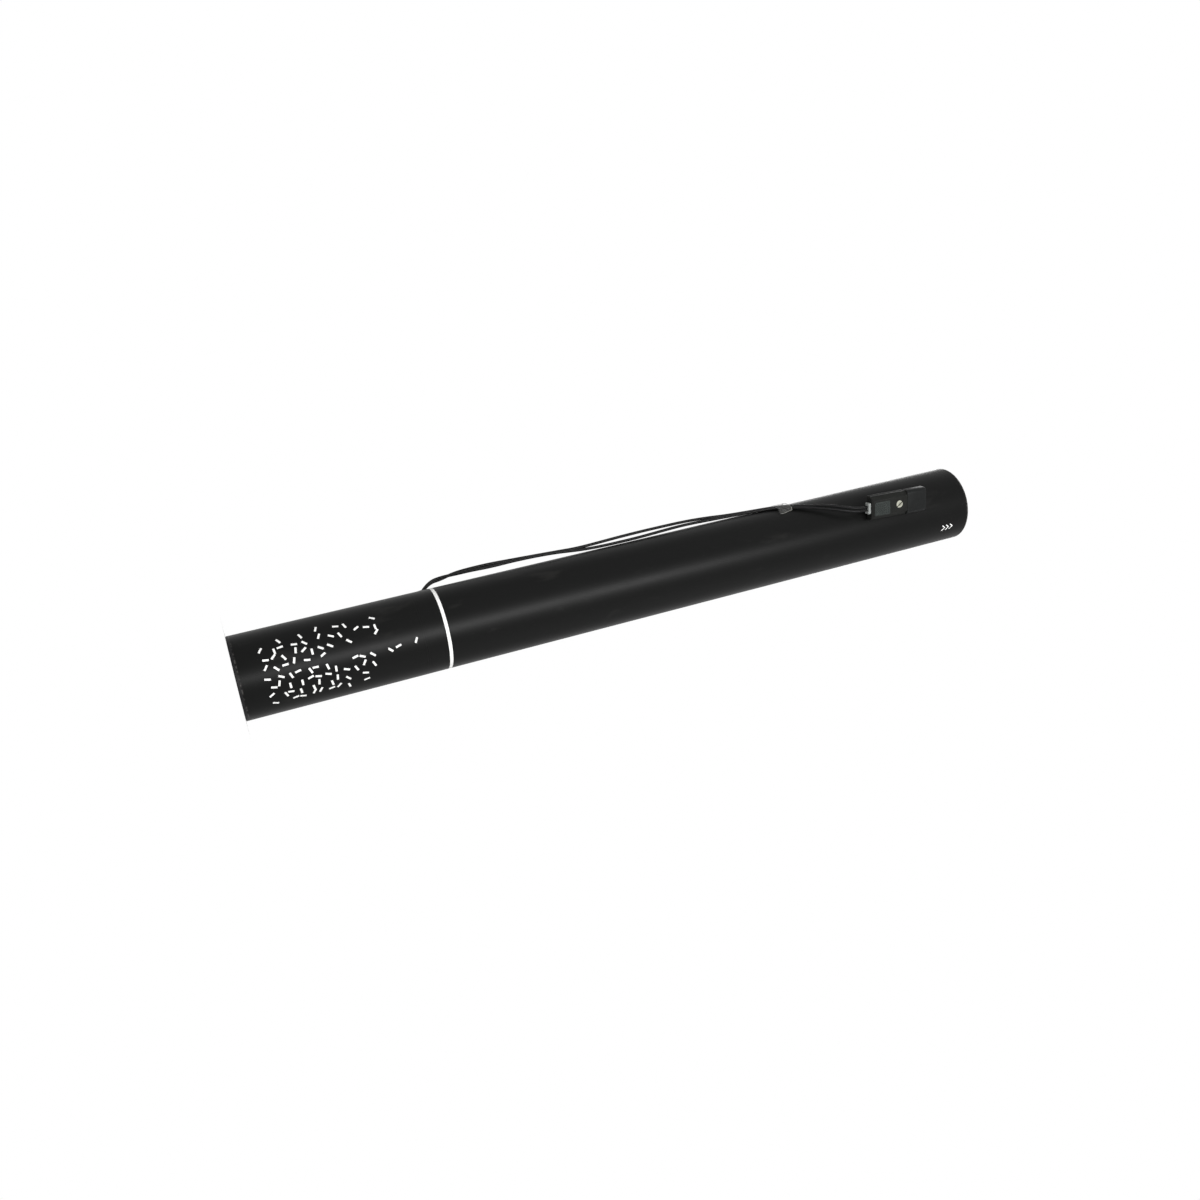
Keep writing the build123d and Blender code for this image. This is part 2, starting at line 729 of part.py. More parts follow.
# Plug base: back half of the body and the whole hood, one moulding, with the nut's pocket
with BuildPart() as plug_base:
    with BuildSketch(plug_plane):
        with Locations((-plug_tail, 0)):
            Rectangle(plug_tail + plug_joint, 2 * plug_half_width, align=across_tail)
    extrude(amount=-plug_half_depth)
    back_edges = plug_base.faces().sort_by(Axis.Y)[-1].edges().sort_by(Axis.Z)
    chamfer(back_edges[:3], plug_bevel)
    with BuildSketch(plug_plane):
        with Locations((-cavity_tail, 0)):
            Rectangle(cavity_tail + cavity_front, 2 * cavity_half_width, align=across_tail)
    extrude(amount=-cavity_half_depth, mode=Mode.SUBTRACT)
    with BuildSketch(cross_plane.offset(plug_joint)):
        RectangleRounded(2 * hood_half_width, 2 * hood_half_depth, hood_edge)
    extrude(amount=plug_front - plug_joint)
    with BuildSketch(cross_plane.offset(partition_front)):
        Rectangle(2 * (hood_half_width - hood_wall), 2 * (hood_half_depth - hood_wall))
    extrude(amount=plug_front - partition_front, mode=Mode.SUBTRACT)
    with BuildSketch(cross_plane.offset(cavity_front)):
        with GridLocations(plug_pin_spacing, 0, 2, 1):
            Circle(plug_pin_radius + hole_clearance)
    extrude(amount=partition_front - cavity_front, mode=Mode.SUBTRACT)
    with BuildSketch(plug_plane.offset(-cavity_half_depth)):
        Circle(pillar_foot)
    extrude(amount=pillar_foot_height)
    with BuildSketch(plug_plane.offset(-cavity_half_depth)):
        Circle(pillar_radius)
    extrude(amount=cavity_half_depth)
    with BuildSketch(plug_plane):
        Circle(screw_radius + glue_gap)
    extrude(amount=-plug_half_depth, mode=Mode.SUBTRACT)
    with BuildSketch(plug_plane.offset(-plug_half_depth)):
        RegularPolygon(plug_nut_radius + glue_gap, 6)
    extrude(amount=plug_nut_height, mode=Mode.SUBTRACT)
    with BuildSketch(cross_plane.offset(-plug_tail)):
        Rectangle(2 * neck_half_width, 2 * neck_half_depth)
    extrude(amount=plug_wall, mode=Mode.SUBTRACT)
plug_base.part.label = "plug_base"
export_step(plug_base.part, "parts/plug_base.step")

# Plug cover: screw side of the body, bevelled, with the dotted grip pad
pad_middle = -plug_tail + pad_tail_margin + pad_length / 2
with BuildPart() as plug_cover:
    with BuildSketch(plug_plane.offset(glue_gap)):
        with Locations((-plug_tail, 0)):
            Rectangle(plug_tail + plug_joint - glue_gap, 2 * plug_half_width, align=across_tail)
    extrude(amount=plug_half_depth - glue_gap)
    front_edges = plug_cover.faces().sort_by(Axis.Y)[0].edges().sort_by(Axis.Z)
    chamfer(front_edges[1:3], plug_chamfer)
    chamfer(plug_cover.faces().sort_by(Axis.Y)[0].edges().sort_by(Axis.Z)[0], plug_bevel)
    with BuildSketch(plug_plane):
        with Locations((-cavity_tail, 0)):
            Rectangle(cavity_tail + cavity_front, 2 * cavity_half_width, align=across_tail)
    extrude(amount=cavity_half_depth, mode=Mode.SUBTRACT)
    with BuildSketch(cross_plane.offset(cavity_front)):
        with GridLocations(plug_pin_spacing, 0, 2, 1):
            Circle(plug_pin_radius + hole_clearance)
    extrude(amount=plug_wall, mode=Mode.SUBTRACT)
    with BuildSketch(plug_plane.offset(cavity_half_depth)):
        Circle(pillar_foot)
    extrude(amount=-pillar_foot_height)
    with BuildSketch(plug_plane.offset(cavity_half_depth)):
        Circle(pillar_radius)
    extrude(amount=-cavity_half_depth + glue_gap)
    with BuildSketch(plug_plane):
        Circle(screw_radius + glue_gap)
    extrude(amount=plug_half_depth, mode=Mode.SUBTRACT)
    with BuildSketch(plug_plane.offset(plug_half_depth)):
        Circle(screw_head_radius + glue_gap)
    extrude(amount=-screw_head_seat, mode=Mode.SUBTRACT)
    with BuildSketch(plug_plane.offset(plug_half_depth)):
        with Locations((pad_middle, pad_aside)):
            RectangleRounded(pad_length, pad_width, dot_pitch / 2)
    extrude(amount=pad_height)
    with BuildSketch(plug_plane.offset(plug_half_depth + pad_height)):
        with Locations((pad_middle, pad_aside)):
            with GridLocations(dot_pitch, dot_pitch, dot_columns, dot_rows):
                Circle(dot_radius)
    extrude(amount=dot_height)
    with BuildSketch(cross_plane.offset(-plug_tail)):
        Rectangle(2 * neck_half_width, 2 * neck_half_depth)
    extrude(amount=plug_wall, mode=Mode.SUBTRACT)
plug_cover.part.label = "plug_cover"
export_step(plug_cover.part, "parts/plug_cover.step")

# Plug screw: slotted cheese head in the cover, shank through to the nut
head_seat = plug_half_depth - screw_head_seat
with BuildPart() as plug_screw:
    with BuildSketch(plug_plane.offset(head_seat)):
        Circle(screw_head_radius)
    extrude(amount=screw_head_height)
    chamfer(plug_screw.edges().sort_by(Axis.Y)[0], screw_head_height / 4)
    with BuildSketch(plug_plane.offset(head_seat)):
        Circle(screw_radius)
    extrude(amount=-head_seat - plug_half_depth + glue_gap)
    with BuildSketch(plug_plane.offset(head_seat + screw_head_height)):
        Rectangle(2 * screw_head_radius, screw_slot, rotation=screw_turn)
    extrude(amount=-screw_head_height / 2, mode=Mode.SUBTRACT)
plug_screw.part.label = "plug_screw"
export_step(plug_screw.part, "parts/plug_screw.step")

# Plug nut: in its pocket in the back of the base
with BuildPart() as plug_nut:
    with BuildSketch(plug_plane.offset(-plug_half_depth + glue_gap)):
        RegularPolygon(plug_nut_radius, 6)
        Circle(screw_radius + hole_clearance, mode=Mode.SUBTRACT)
    extrude(amount=plug_nut_height - 2 * glue_gap)
plug_nut.part.label = "plug_nut"
export_step(plug_nut.part, "parts/plug_nut.step")

# Contact pins: barrel in the body, pin through the partition into the hood
with BuildPart() as plug_pins:
    with BuildSketch(cross_plane.offset(-barrel_tail)):
        with GridLocations(plug_pin_spacing, 0, 2, 1):
            Circle(barrel_radius)
    extrude(amount=barrel_length)
    with BuildSketch(cross_plane.offset(-barrel_tail)):
        with GridLocations(plug_pin_spacing, 0, 2, 1):
            Circle(plug_pin_radius)
    extrude(amount=barrel_tail + plug_pin_reach)
    pin_tips = plug_pins.faces().filter_by(GeomType.PLANE).sort_by(Axis.Z)[-2:]
    chamfer([edge for tip in pin_tips for edge in tip.edges()], plug_pin_radius / 2)
    with BuildSketch(plug_plane):
        with Locations((barrel_length / 2 - barrel_tail, 0)):
            with GridLocations(0, plug_pin_spacing, 1, 2):
                Circle(pin_screw_radius + hole_clearance)
    extrude(amount=barrel_radius, mode=Mode.SUBTRACT)
plug_pins.part.label = "plug_pins"
export_step(plug_pins.part, "parts/plug_pins.step")

with BuildPart() as pin_screws:
    with BuildSketch(plug_plane.offset(glue_gap)):
        with Locations((barrel_length / 2 - barrel_tail, 0)):
            with GridLocations(0, plug_pin_spacing, 1, 2):
                Circle(pin_screw_radius)
    extrude(amount=barrel_radius)
    with BuildSketch(plug_plane.offset(barrel_radius + glue_gap)):
        with Locations((barrel_length / 2 - barrel_tail, 0)):
            with GridLocations(0, plug_pin_spacing, 1, 2):
                Circle(pin_screw_head)
    extrude(amount=pin_screw_height)
pin_screws.part.label = "pin_screws"
export_step(pin_screws.part, "parts/pin_screws.step")

# Cable clamp: grey block outside the tail, neck through its wall, flange inside
clamp_tail = plug_tail + clamp_length
flange_front = cavity_tail - clamp_flange
wire_places = [(wire_pitch / 2, 0), (-wire_pitch / 2, 0)]
with BuildPart() as cable_clamp:
    with BuildSketch(cross_plane.offset(-clamp_tail)):
        RectangleRounded(2 * clamp_half_width, 2 * clamp_half_depth, clamp_neck)
    extrude(amount=clamp_length - glue_gap)
    with BuildSketch(cross_plane.offset(-clamp_tail)):
        Rectangle(2 * (neck_half_width - glue_gap), 2 * (neck_half_depth - glue_gap))
    extrude(amount=clamp_tail - flange_front)
    with BuildSketch(cross_plane.offset(-cavity_tail + glue_gap)):
        Rectangle(2 * clamp_half_width, 2 * clamp_half_depth)
    extrude(amount=clamp_flange - glue_gap)
    with BuildSketch(cross_plane.offset(-clamp_tail)):
        with Locations(*wire_places):
            Circle(wire_radius + hole_clearance)
    extrude(amount=clamp_tail, mode=Mode.SUBTRACT)
cable_clamp.part.label = "cable_clamp"
export_step(cable_clamp.part, "parts/cable_clamp.step")

# Plug leads: the wire ends, through the clamp and out to the two barrels
with BuildPart() as plug_leads:
    for side_sign in (-1, 1):
        near = side_sign * wire_pitch / 2
        far = side_sign * plug_pin_offset
        bend_tail = flange_front - clamp_flange
        lead_points = [
            plug_plane.from_local_coords(Vector(-clamp_tail, near, 0)),
            plug_plane.from_local_coords(Vector(-bend_tail, near, 0)),
            plug_plane.from_local_coords(Vector(-barrel_tail - wire_diameter, far, 0)),
            plug_plane.from_local_coords(Vector(-barrel_tail, far, 0)),
        ]
        with BuildLine() as lead_path:
            FilletPolyline(*lead_points, radius=wire_diameter)
        with BuildSketch(Plane(origin=lead_points[0], z_dir=plug_plane.x_dir)):
            Circle(wire_radius)
        sweep(path=lead_path.wires()[0])
plug_leads.part.label = "plug_leads"
export_step(plug_leads.part, "parts/plug_leads.step")

# Wire routes from the grommet to the clamp: first held clear of the tube, then under the tape,
# then across to the plug. Wire a is the upper one where the two part.
wire_a_start = exit_plane.from_local_coords(Vector(wire_pitch / 2, 0, grommet_outside))
wire_b_start = exit_plane.from_local_coords(Vector(-wire_pitch / 2, 0, grommet_outside))
wire_a_end = plug_plane.from_local_coords(Vector(-clamp_tail, wire_pitch / 2, 0))
wire_b_end = plug_plane.from_local_coords(Vector(-clamp_tail, -wire_pitch / 2, 0))


def along_wall(share):
    """A height between the wire exit and the tape."""
    return exit_height + share * (tape_height - exit_height)


def past_tape(share):
    """A height between the tape and the plug's clamp."""
    return tape_end + share * (wire_a_end.Z - tape_end)


def beside(lift, angle, aside, height):
    """A point off the wrap, moved aside from an angle by a distance round the tube."""
    radius = wrap_radius + lift
    return around(radius, angle + math.degrees(aside / radius), height)


wire_a_route = [
    wire_a_start,
    wire_a_start + exit_heading * first_run_a,
    beside(6.50, 128.7, 1.09, along_wall(0.056)),
    beside(6.95, 125.6, 1.15, along_wall(0.088)),
    beside(6.90, 121.7, 1.18, along_wall(0.131)),
    beside(6.65, 118.8, 1.06, along_wall(0.184)),
    beside(5.85, 117.1, 1.04, along_wall(0.245)),
    beside(5.10, 115.8, 1.04, along_wall(0.307)),
    beside(4.36, 114.4, 0.98, along_wall(0.368)),
    beside(3.85, 113.4, 0.92, along_wall(0.421)),
    beside(4.40, 112.8, 0.93, along_wall(0.474)),
    beside(5.08, 112.5, 1.01, along_wall(0.540)),
    beside(5.15, 112.2, 1.13, along_wall(0.605)),
    beside(4.70, 112.1, 1.19, along_wall(0.671)),
    beside(3.85, 111.8, 1.22, along_wall(0.736)),
    beside(2.72, 111.0, 1.24, along_wall(0.802)),
    beside(1.65, 109.5, 1.22, along_wall(0.867)),
    beside(1.25, 105.6, 1.13, along_wall(0.933)),
    beside(wire_lift + wire_radius, 98.2, 1.09, tape_height - 2.5),
    beside(wire_lift + wire_radius, 91.6, 1.22, tape_height + 5.7),
    beside(wire_lift + wire_radius, 84.2, 1.29, tape_end + 1.1),
    beside(2.40, 70.5, 1.34, past_tape(0.269)),
    beside(4.40, 60.0, 1.38, past_tape(0.461)),
    beside(6.75, 50.2, 1.34, past_tape(0.643)),
    wire_a_end - plug_plane.x_dir * last_run,
    wire_a_end,
]
wire_b_route = [
    wire_b_start,
    wire_b_start + exit_heading * first_run_b,
    beside(6.15, 128.7, -1.08, along_wall(0.057)),
    beside(5.95, 125.6, -1.12, along_wall(0.092)),
    beside(5.60, 121.7, -1.15, along_wall(0.132)),
    beside(5.20, 118.8, -1.03, along_wall(0.183)),
    beside(4.90, 117.1, -1.00, along_wall(0.245)),
    beside(4.55, 115.8, -1.00, along_wall(0.306)),
    beside(3.70, 114.4, -0.93, along_wall(0.367)),
    beside(2.15, 113.4, -0.86, along_wall(0.421)),
    beside(1.30, 112.8, -0.84, along_wall(0.474)),
    beside(1.15, 112.5, -0.88, along_wall(0.540)),
    beside(1.15, 112.2, -0.96, along_wall(0.605)),
    beside(1.60, 112.1, -1.02, along_wall(0.671)),
    beside(2.10, 111.8, -1.08, along_wall(0.736)),
    beside(1.85, 111.0, -1.14, along_wall(0.802)),
    beside(1.35, 109.5, -1.17, along_wall(0.867)),
    beside(1.15, 105.6, -1.11, along_wall(0.933)),
    beside(wire_lift + wire_radius, 98.2, -1.09, tape_height - 2.5),
    beside(wire_lift + wire_radius, 91.6, -1.22, tape_height + 5.7),
    beside(wire_lift + wire_radius, 84.2, -1.29, tape_end + 1.1),
    beside(2.40, 70.5, -1.34, past_tape(0.269)),
    beside(4.20, 60.0, -1.38, past_tape(0.461)),
    beside(6.25, 50.2, -1.30, past_tape(0.643)),
    wire_b_end - plug_plane.x_dir * last_run,
    wire_b_end,
]
for wire_name, route in (("wire_a", wire_a_route), ("wire_b", wire_b_route)):
    radii = smooth_route(route)
    print(wire_name, "radii", [round(radius, 1) for radius in radii])
    with BuildPart() as wire:
        with BuildLine() as wire_path:
            FilletPolyline(*route, radius=radii)
        with BuildSketch(Plane(origin=route[0], z_dir=wire_path.wires()[0] % 0)):
            Circle(wire_radius)
        sweep(path=wire_path.wires()[0])
    wire.part.label = wire_name
    export_step(wire.part, "parts/" + wire_name + ".step")
    length = wire_path.wires()[0].length
    print(wire_name, "length", round(length, 1), "volume ratio",
          round(wire.part.volume / (math.pi * wire_radius**2 * length), 4))

# Tape: clear strip stuck to the wrap on both sides of the wires
tape_flat = wrap_radius + glue_gap
tape_bridge = wire_lie + wire_radius + glue_gap
with BuildPart() as wire_tape:
    with BuildSketch(Plane.XY.offset(tape_height)):
        with BuildLine() as tape_line:
            flap_middle = (tape_low + tape_step_low) / 2
            top_middle = (tape_top_low + tape_top_high) / 2
            ThreePointArc(
                around(tape_flat, tape_low, 0),
                around(tape_flat, flap_middle, 0),
                around(tape_flat, tape_step_low, 0),
            )
            Line(around(tape_flat, tape_step_low, 0), around(tape_bridge, tape_top_low, 0))
            ThreePointArc(
                around(tape_bridge, tape_top_low, 0),
                around(tape_bridge, top_middle, 0),
                around(tape_bridge, tape_top_high, 0),
            )
            Line(around(tape_bridge, tape_top_high, 0), around(tape_flat, tape_step_high, 0))
            ThreePointArc(
                around(tape_flat, tape_step_high, 0),
                around(tape_flat, (tape_step_high + tape_high) / 2, 0),
                around(tape_flat, tape_high, 0),
            )
            offset(tape_line.line, amount=tape_thickness, side=Side.LEFT, kind=Kind.INTERSECTION)
        make_face()
    extrude(amount=tape_width)
wire_tape.part.label = "wire_tape"
export_step(wire_tape.part, "parts/wire_tape.step")
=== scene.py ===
import bpy
import math
import random
from mathutils import Matrix, Vector


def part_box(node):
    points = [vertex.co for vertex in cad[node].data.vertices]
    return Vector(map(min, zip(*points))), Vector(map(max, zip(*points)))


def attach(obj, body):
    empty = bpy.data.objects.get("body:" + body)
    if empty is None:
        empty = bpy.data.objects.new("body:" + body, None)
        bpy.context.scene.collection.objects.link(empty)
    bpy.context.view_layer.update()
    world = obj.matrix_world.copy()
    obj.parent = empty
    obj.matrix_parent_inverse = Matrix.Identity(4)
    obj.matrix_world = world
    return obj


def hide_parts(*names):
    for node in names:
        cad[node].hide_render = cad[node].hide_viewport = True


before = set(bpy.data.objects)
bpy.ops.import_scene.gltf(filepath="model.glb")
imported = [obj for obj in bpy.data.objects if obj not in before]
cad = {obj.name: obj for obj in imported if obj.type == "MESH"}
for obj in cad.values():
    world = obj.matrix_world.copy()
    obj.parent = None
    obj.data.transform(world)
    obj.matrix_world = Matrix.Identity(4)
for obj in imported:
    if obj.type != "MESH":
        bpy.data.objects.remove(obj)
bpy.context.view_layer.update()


# Studio: the tube is seen from low in front of its lower end, and the picture is turned so that it lies
# nearly level. Floor and surroundings are white. A narrow lamp beside the camera draws the streak along
# the tube, and weak soft boxes stand on the wires' side, low in front and past the muzzle.
class Value:
    """A shader value: sums with it add Math nodes, and node() adds any other kind."""

    def __init__(self, tree, socket):
        self.tree = tree
        self.socket = socket

    def node(self, kind, settings=None, sockets=None, output=0):
        """A new node: its settings are made first, then its sockets are set or linked."""
        made = self.tree.nodes.new(kind)
        for key, setting in (settings or {}).items():
            setattr(made, key, setting)
        for key, given in (sockets or {}).items():
            if isinstance(given, Value):
                self.tree.links.new(given.socket, made.inputs[key])
            else:
                made.inputs[key].default_value = given
        if made.outputs:
            return Value(self.tree, made.outputs[output])

    def beside(self, name):
        """Another output of the same node."""
        return Value(self.tree, self.socket.node.outputs[name])

    def sum(self, operation, first, second=0.0):
        """A Math node on one or two values."""
        return self.node("ShaderNodeMath", {"operation": operation}, {0: first, 1: second})

    def __add__(self, other):
        return self.sum("ADD", self, other)

    def __radd__(self, other):
        return self.sum("ADD", other, self)

    def __sub__(self, other):
        return self.sum("SUBTRACT", self, other)

    def __rsub__(self, other):
        return self.sum("SUBTRACT", other, self)

    def __mul__(self, other):
        return self.sum("MULTIPLY", self, other)

    def __rmul__(self, other):
        return self.sum("MULTIPLY", other, self)

    def __gt__(self, other):
        return self.sum("GREATER_THAN", self, other)

    def __lt__(self, other):
        return self.sum("LESS_THAN", self, other)


picture_right = Vector((0.08050, -0.38355, 0.92000))
picture_down = Vector((0.90166, -0.36542, -0.23124))
picture_in = Vector((0.42488, 0.84814, 0.31642))
camera_turn = Matrix((picture_right, -picture_down, -picture_in)).transposed()
camera_place = Vector((-0.29086, -0.59635, 0.00575))
camera_data = bpy.data.cameras.new("photo_camera")
camera_data.lens = 32.56
camera_data.sensor_width = 36.0
camera_data.clip_start = 0.01
photo_camera = bpy.data.objects.new("photo_camera", camera_data)
bpy.context.scene.collection.objects.link(photo_camera)
photo_camera.matrix_world = Matrix.Translation(camera_place) @ camera_turn.to_4x4()
bpy.context.scene.camera = photo_camera
bpy.context.scene.view_settings.view_transform = "Standard"


def white_rays(ray):
    """1 for what is seen straight, in a mirror or through glass, and 0 for light on the object."""
    rays = ray + ray.beside("Is Glossy Ray") + ray.beside("Is Transmission Ray")
    return ray.sum("MINIMUM", rays, 1.0)


sky_light = 0.45
studio_world = bpy.data.worlds.new("white_studio")
studio_world.use_nodes = True
bpy.context.scene.world = studio_world
sky_tree = studio_world.node_tree
sky_tree.nodes.clear()
sky_ray = Value(sky_tree, sky_tree.nodes.new("ShaderNodeLightPath").outputs["Is Camera Ray"])
sky_strength = sky_light + white_rays(sky_ray) * (1 - sky_light)
sky = sky_ray.node("ShaderNodeBackground", None, {"Color": (1, 1, 1, 1), "Strength": sky_strength})
sky_ray.node("ShaderNodeOutputWorld", None, {"Surface": sky})

tube_middle = Vector((0, 0, 0.25))
for lamp_name, lamp_place, lamp_size, lamp_power in (
    ("wire_side_box", (-1.05, -0.25, 0.45), (0.7, 1.2), 1.2),
    ("camera_side_bar", (-0.327, -0.977, 0.40), (0.10, 0.8), 15.0),
    ("low_front_box", (0.75, -0.75, 0.35), (0.8, 1.2), 2.0),
    ("muzzle_box", (0.25, 0.7, 1.15), (0.7, 0.7), 6.0),
):
    lamp_data = bpy.data.lights.new(lamp_name, "AREA")
    lamp_data.shape = "RECTANGLE"
    lamp_data.size, lamp_data.size_y = lamp_size
    lamp_data.energy = lamp_power
    lamp = bpy.data.objects.new(lamp_name, lamp_data)
    bpy.context.scene.collection.objects.link(lamp)
    lamp.location = lamp_place
    lamp_aim = tube_middle - lamp.location
    if lamp_name == "camera_side_bar":
        lamp_aim.z = 0.0
    lamp.rotation_euler = lamp_aim.to_track_quat("-Z", "Y").to_euler()


def surface(name):
    """A new material and its object coordinates."""
    made = bpy.data.materials.new(name)
    made.use_nodes = True
    made.node_tree.nodes.clear()
    coordinates = made.node_tree.nodes.new("ShaderNodeTexCoord")
    return made, Value(made.node_tree, coordinates.outputs["Object"])


def grain(place, size, detail=2.0, stretch=(1, 1, 1)):
    """Soft noise from 0 to 1 whose lumps are about size metres, drawn out where stretch is small."""
    drawn = place.node("ShaderNodeVectorMath", {"operation": "MULTIPLY"}, {0: place, 1: stretch})
    return place.node("ShaderNodeTexNoise", None, {"Vector": drawn, "Scale": 1 / size, "Detail": detail})


def blend_colour(place, share, first, second):
    """From the first colour to the second as share goes from 0 to 1."""
    tones = [tone if isinstance(tone, Value) else (*tone, 1) for tone in (first, second)]
    return place.node("ShaderNodeMix", {"data_type": "RGBA"}, {0: share, 6: tones[0], 7: tones[1]}, 2)


def between(place, value, low, high):
    """A smooth step from 0 to 1 as value goes from low to high."""
    return place.node(
        "ShaderNodeMapRange",
        {"interpolation_type": "SMOOTHSTEP"},
        {"Value": value, "From Min": low, "From Max": high},
    )


floor_side = 12.0
floor_drop = 0.00005
shadow_reach = 0.0256
white_reach = 0.042
floor_paint, place = surface("pale_floor")
floor_tone = blend_colour(place, grain(place, size=0.4), (0.86, 0.86, 0.86), (0.88, 0.88, 0.88))
floor_skin = place.node(
    "ShaderNodeBsdfPrincipled",
    None,
    {"Base Color": floor_tone, "Roughness": 0.7, "Specular IOR Level": 0.2},
)
floor_glow = place.node("ShaderNodeEmission", None, {"Color": (1, 1, 1, 1), "Strength": 1.0})
white_floor = white_rays(place.node("ShaderNodeLightPath"))
from_object = place.node("ShaderNodeVectorMath", {"operation": "LENGTH"}, {0: place}, 1)
glow_share = white_floor * between(place, from_object, shadow_reach, white_reach)
floor_seen = place.node("ShaderNodeMixShader", None, {0: glow_share, 1: floor_skin, 2: floor_glow})
place.node("ShaderNodeOutputMaterial", None, {"Surface": floor_seen})
bpy.ops.object.select_all(action="DESELECT")
bpy.ops.mesh.primitive_plane_add(size=floor_side, location=(0, 0, -floor_drop))
floor = bpy.context.object
floor.name = "studio_floor"
floor.data.materials.append(floor_paint)


def relief(place, height, depth, strength):
    """A bump of that depth in metres."""
    return place.node("ShaderNodeBump", None, {"Height": height, "Distance": depth, "Strength": strength})


def coat(place, sockets):
    """Ends a material in one shader with these sockets."""
    shader = place.node("ShaderNodeBsdfPrincipled", None, sockets)
    place.node("ShaderNodeOutputMaterial", None, {"Surface": shader})


def dress(material, *names):
    """Gives CAD nodes a material of this file."""
    for name in names:
        cad[name].data.materials.clear()
        cad[name].data.materials.append(material)


def finish_skin(piece, material, crease):
    """Smooths the active piece, but for edges sharper than crease degrees, and gives it its material."""
    bpy.ops.object.shade_smooth_by_angle(angle=math.radians(crease))
    piece.data.materials.clear()
    piece.data.materials.append(material)


cap_plastic, place = surface("cap_plastic")
cap_fine = grain(place, size=0.0004, detail=3.0)
cap_scuff = grain(place, size=0.006, detail=4.0)
coat(
    place,
    {
        "Base Color": blend_colour(place, cap_scuff, (0.0042, 0.0042, 0.0044), (0.010, 0.010, 0.0105)),
        "Roughness": 0.42 + cap_scuff * 0.16,
        "Specular IOR Level": 0.12,
        "Normal": relief(place, cap_fine, depth=0.00003, strength=0.6),
    },
)
dress(cap_plastic, "base_cap")

rib_count = 6
rib_size = (0.0125, 0.0012, 0.0006)
rib_reach = 0.0105
gate_radius = 0.0034
cap_recess = 0.0008
rib_level = cap_recess - rib_size[2] / 2
bpy.ops.object.select_all(action="DESELECT")
bpy.ops.mesh.primitive_cylinder_add(
    vertices=48, radius=gate_radius, depth=rib_size[2], location=(0, 0, rib_level)
)
cap_ribs = bpy.context.object
cap_ribs.name = "cap_ribs"
bpy.ops.object.transform_apply(location=True, rotation=True, scale=True)
bpy.ops.object.mode_set(mode="EDIT")
for rib in range(rib_count):
    turn = rib * 2 * math.pi / rib_count
    bpy.ops.mesh.select_all(action="DESELECT")
    bpy.ops.mesh.primitive_cube_add(
        size=1.0,
        location=(rib_reach * math.cos(turn), rib_reach * math.sin(turn), rib_level),
        rotation=(0, 0, turn),
        scale=rib_size,
    )
bpy.ops.object.mode_set(mode="OBJECT")
soft_edges = cap_ribs.modifiers.new("soft_edges", "BEVEL")
soft_edges.width = 0.00015
soft_edges.segments = 2
bpy.ops.object.modifier_apply(modifier="soft_edges")
finish_skin(cap_ribs, cap_plastic, crease=40)
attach(cap_ribs, "body")


# Rubber pieces: the cup under the gas bottle, the bulkhead's sealing ring and the wire grommet, which is
# pressed through the wall from outside and trimmed almost flush. Moulded, with a dull, dusty black skin.
def merged_copy(name, node):
    """A copy of a CAD node, active and open in Edit mode, with its loose triangles joined."""
    made = bpy.data.objects.new(name, cad[node].data.copy())
    bpy.context.scene.collection.objects.link(made)
    bpy.ops.object.select_all(action="DESELECT")
    made.select_set(True)
    bpy.context.view_layer.objects.active = made
    bpy.ops.object.mode_set(mode="EDIT")
    bpy.ops.mesh.select_all(action="SELECT")
    bpy.ops.mesh.remove_doubles(threshold=0.000002)
    return made


soft_rubber, place = surface("soft_rubber")
rubber_dust = grain(place, size=0.003, detail=4.0)
coat(
    place,
    {
        "Base Color": blend_colour(place, rubber_dust, (0.012, 0.012, 0.012), (0.032, 0.031, 0.030)),
        "Roughness": 0.62 + rubber_dust * 0.2,
        "Specular IOR Level": 0.2,
        "Normal": relief(place, grain(place, size=0.0005), depth=0.00004, strength=0.5),
    },
)
dress(soft_rubber, "bottle_seat", "block_seal")

grommet_proud = 0.0004
wrap_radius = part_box("tube_wrap")[1][0]
grommet_low, grommet_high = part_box("wire_grommet")
bpy.ops.object.select_all(action="DESELECT")
bpy.ops.mesh.primitive_cylinder_add(
    vertices=256,
    radius=wrap_radius + grommet_proud,
    depth=2 * (grommet_high[2] - grommet_low[2]),
    location=(0, 0, (grommet_low[2] + grommet_high[2]) / 2),
)
trimming_drum = bpy.context.object
flush_grommet = merged_copy("flush_grommet", "wire_grommet")
bpy.ops.object.mode_set(mode="OBJECT")
flush_cut = flush_grommet.modifiers.new("flush_cut", "BOOLEAN")
flush_cut.operation = "INTERSECT"
flush_cut.object = trimming_drum
bpy.ops.object.modifier_apply(modifier="flush_cut")
bpy.data.objects.remove(trimming_drum)
finish_skin(flush_grommet, soft_rubber, crease=40)
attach(flush_grommet, "body")
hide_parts("wire_grommet")


# Steel pieces: drawn gas bottle, striker, spring, sear and its pin, perforated screen, heater leads, and
# the plug's nut and pin screws. Turned and drawn steel with fine marks round the axis.
drawn_steel, place = surface("drawn_steel")
steel_lines = grain(place, size=0.0016, detail=3.0, stretch=(0.15, 0.15, 3.0))
steel_cloud = grain(place, size=0.01, detail=3.0)
coat(
    place,
    {
        "Base Color": blend_colour(place, steel_cloud, (0.46, 0.47, 0.48), (0.60, 0.61, 0.62)),
        "Metallic": 1.0,
        "Roughness": 0.26 + steel_lines * 0.2,
        "Normal": relief(place, steel_lines, depth=0.00002, strength=0.5),
    },
)
dress(drawn_steel, "gas_bottle", "striker", "striker_spring", "sear", "sear_pin", "gas_screen")
dress(drawn_steel, "plug_nut", "pin_screws", "heater_leads")


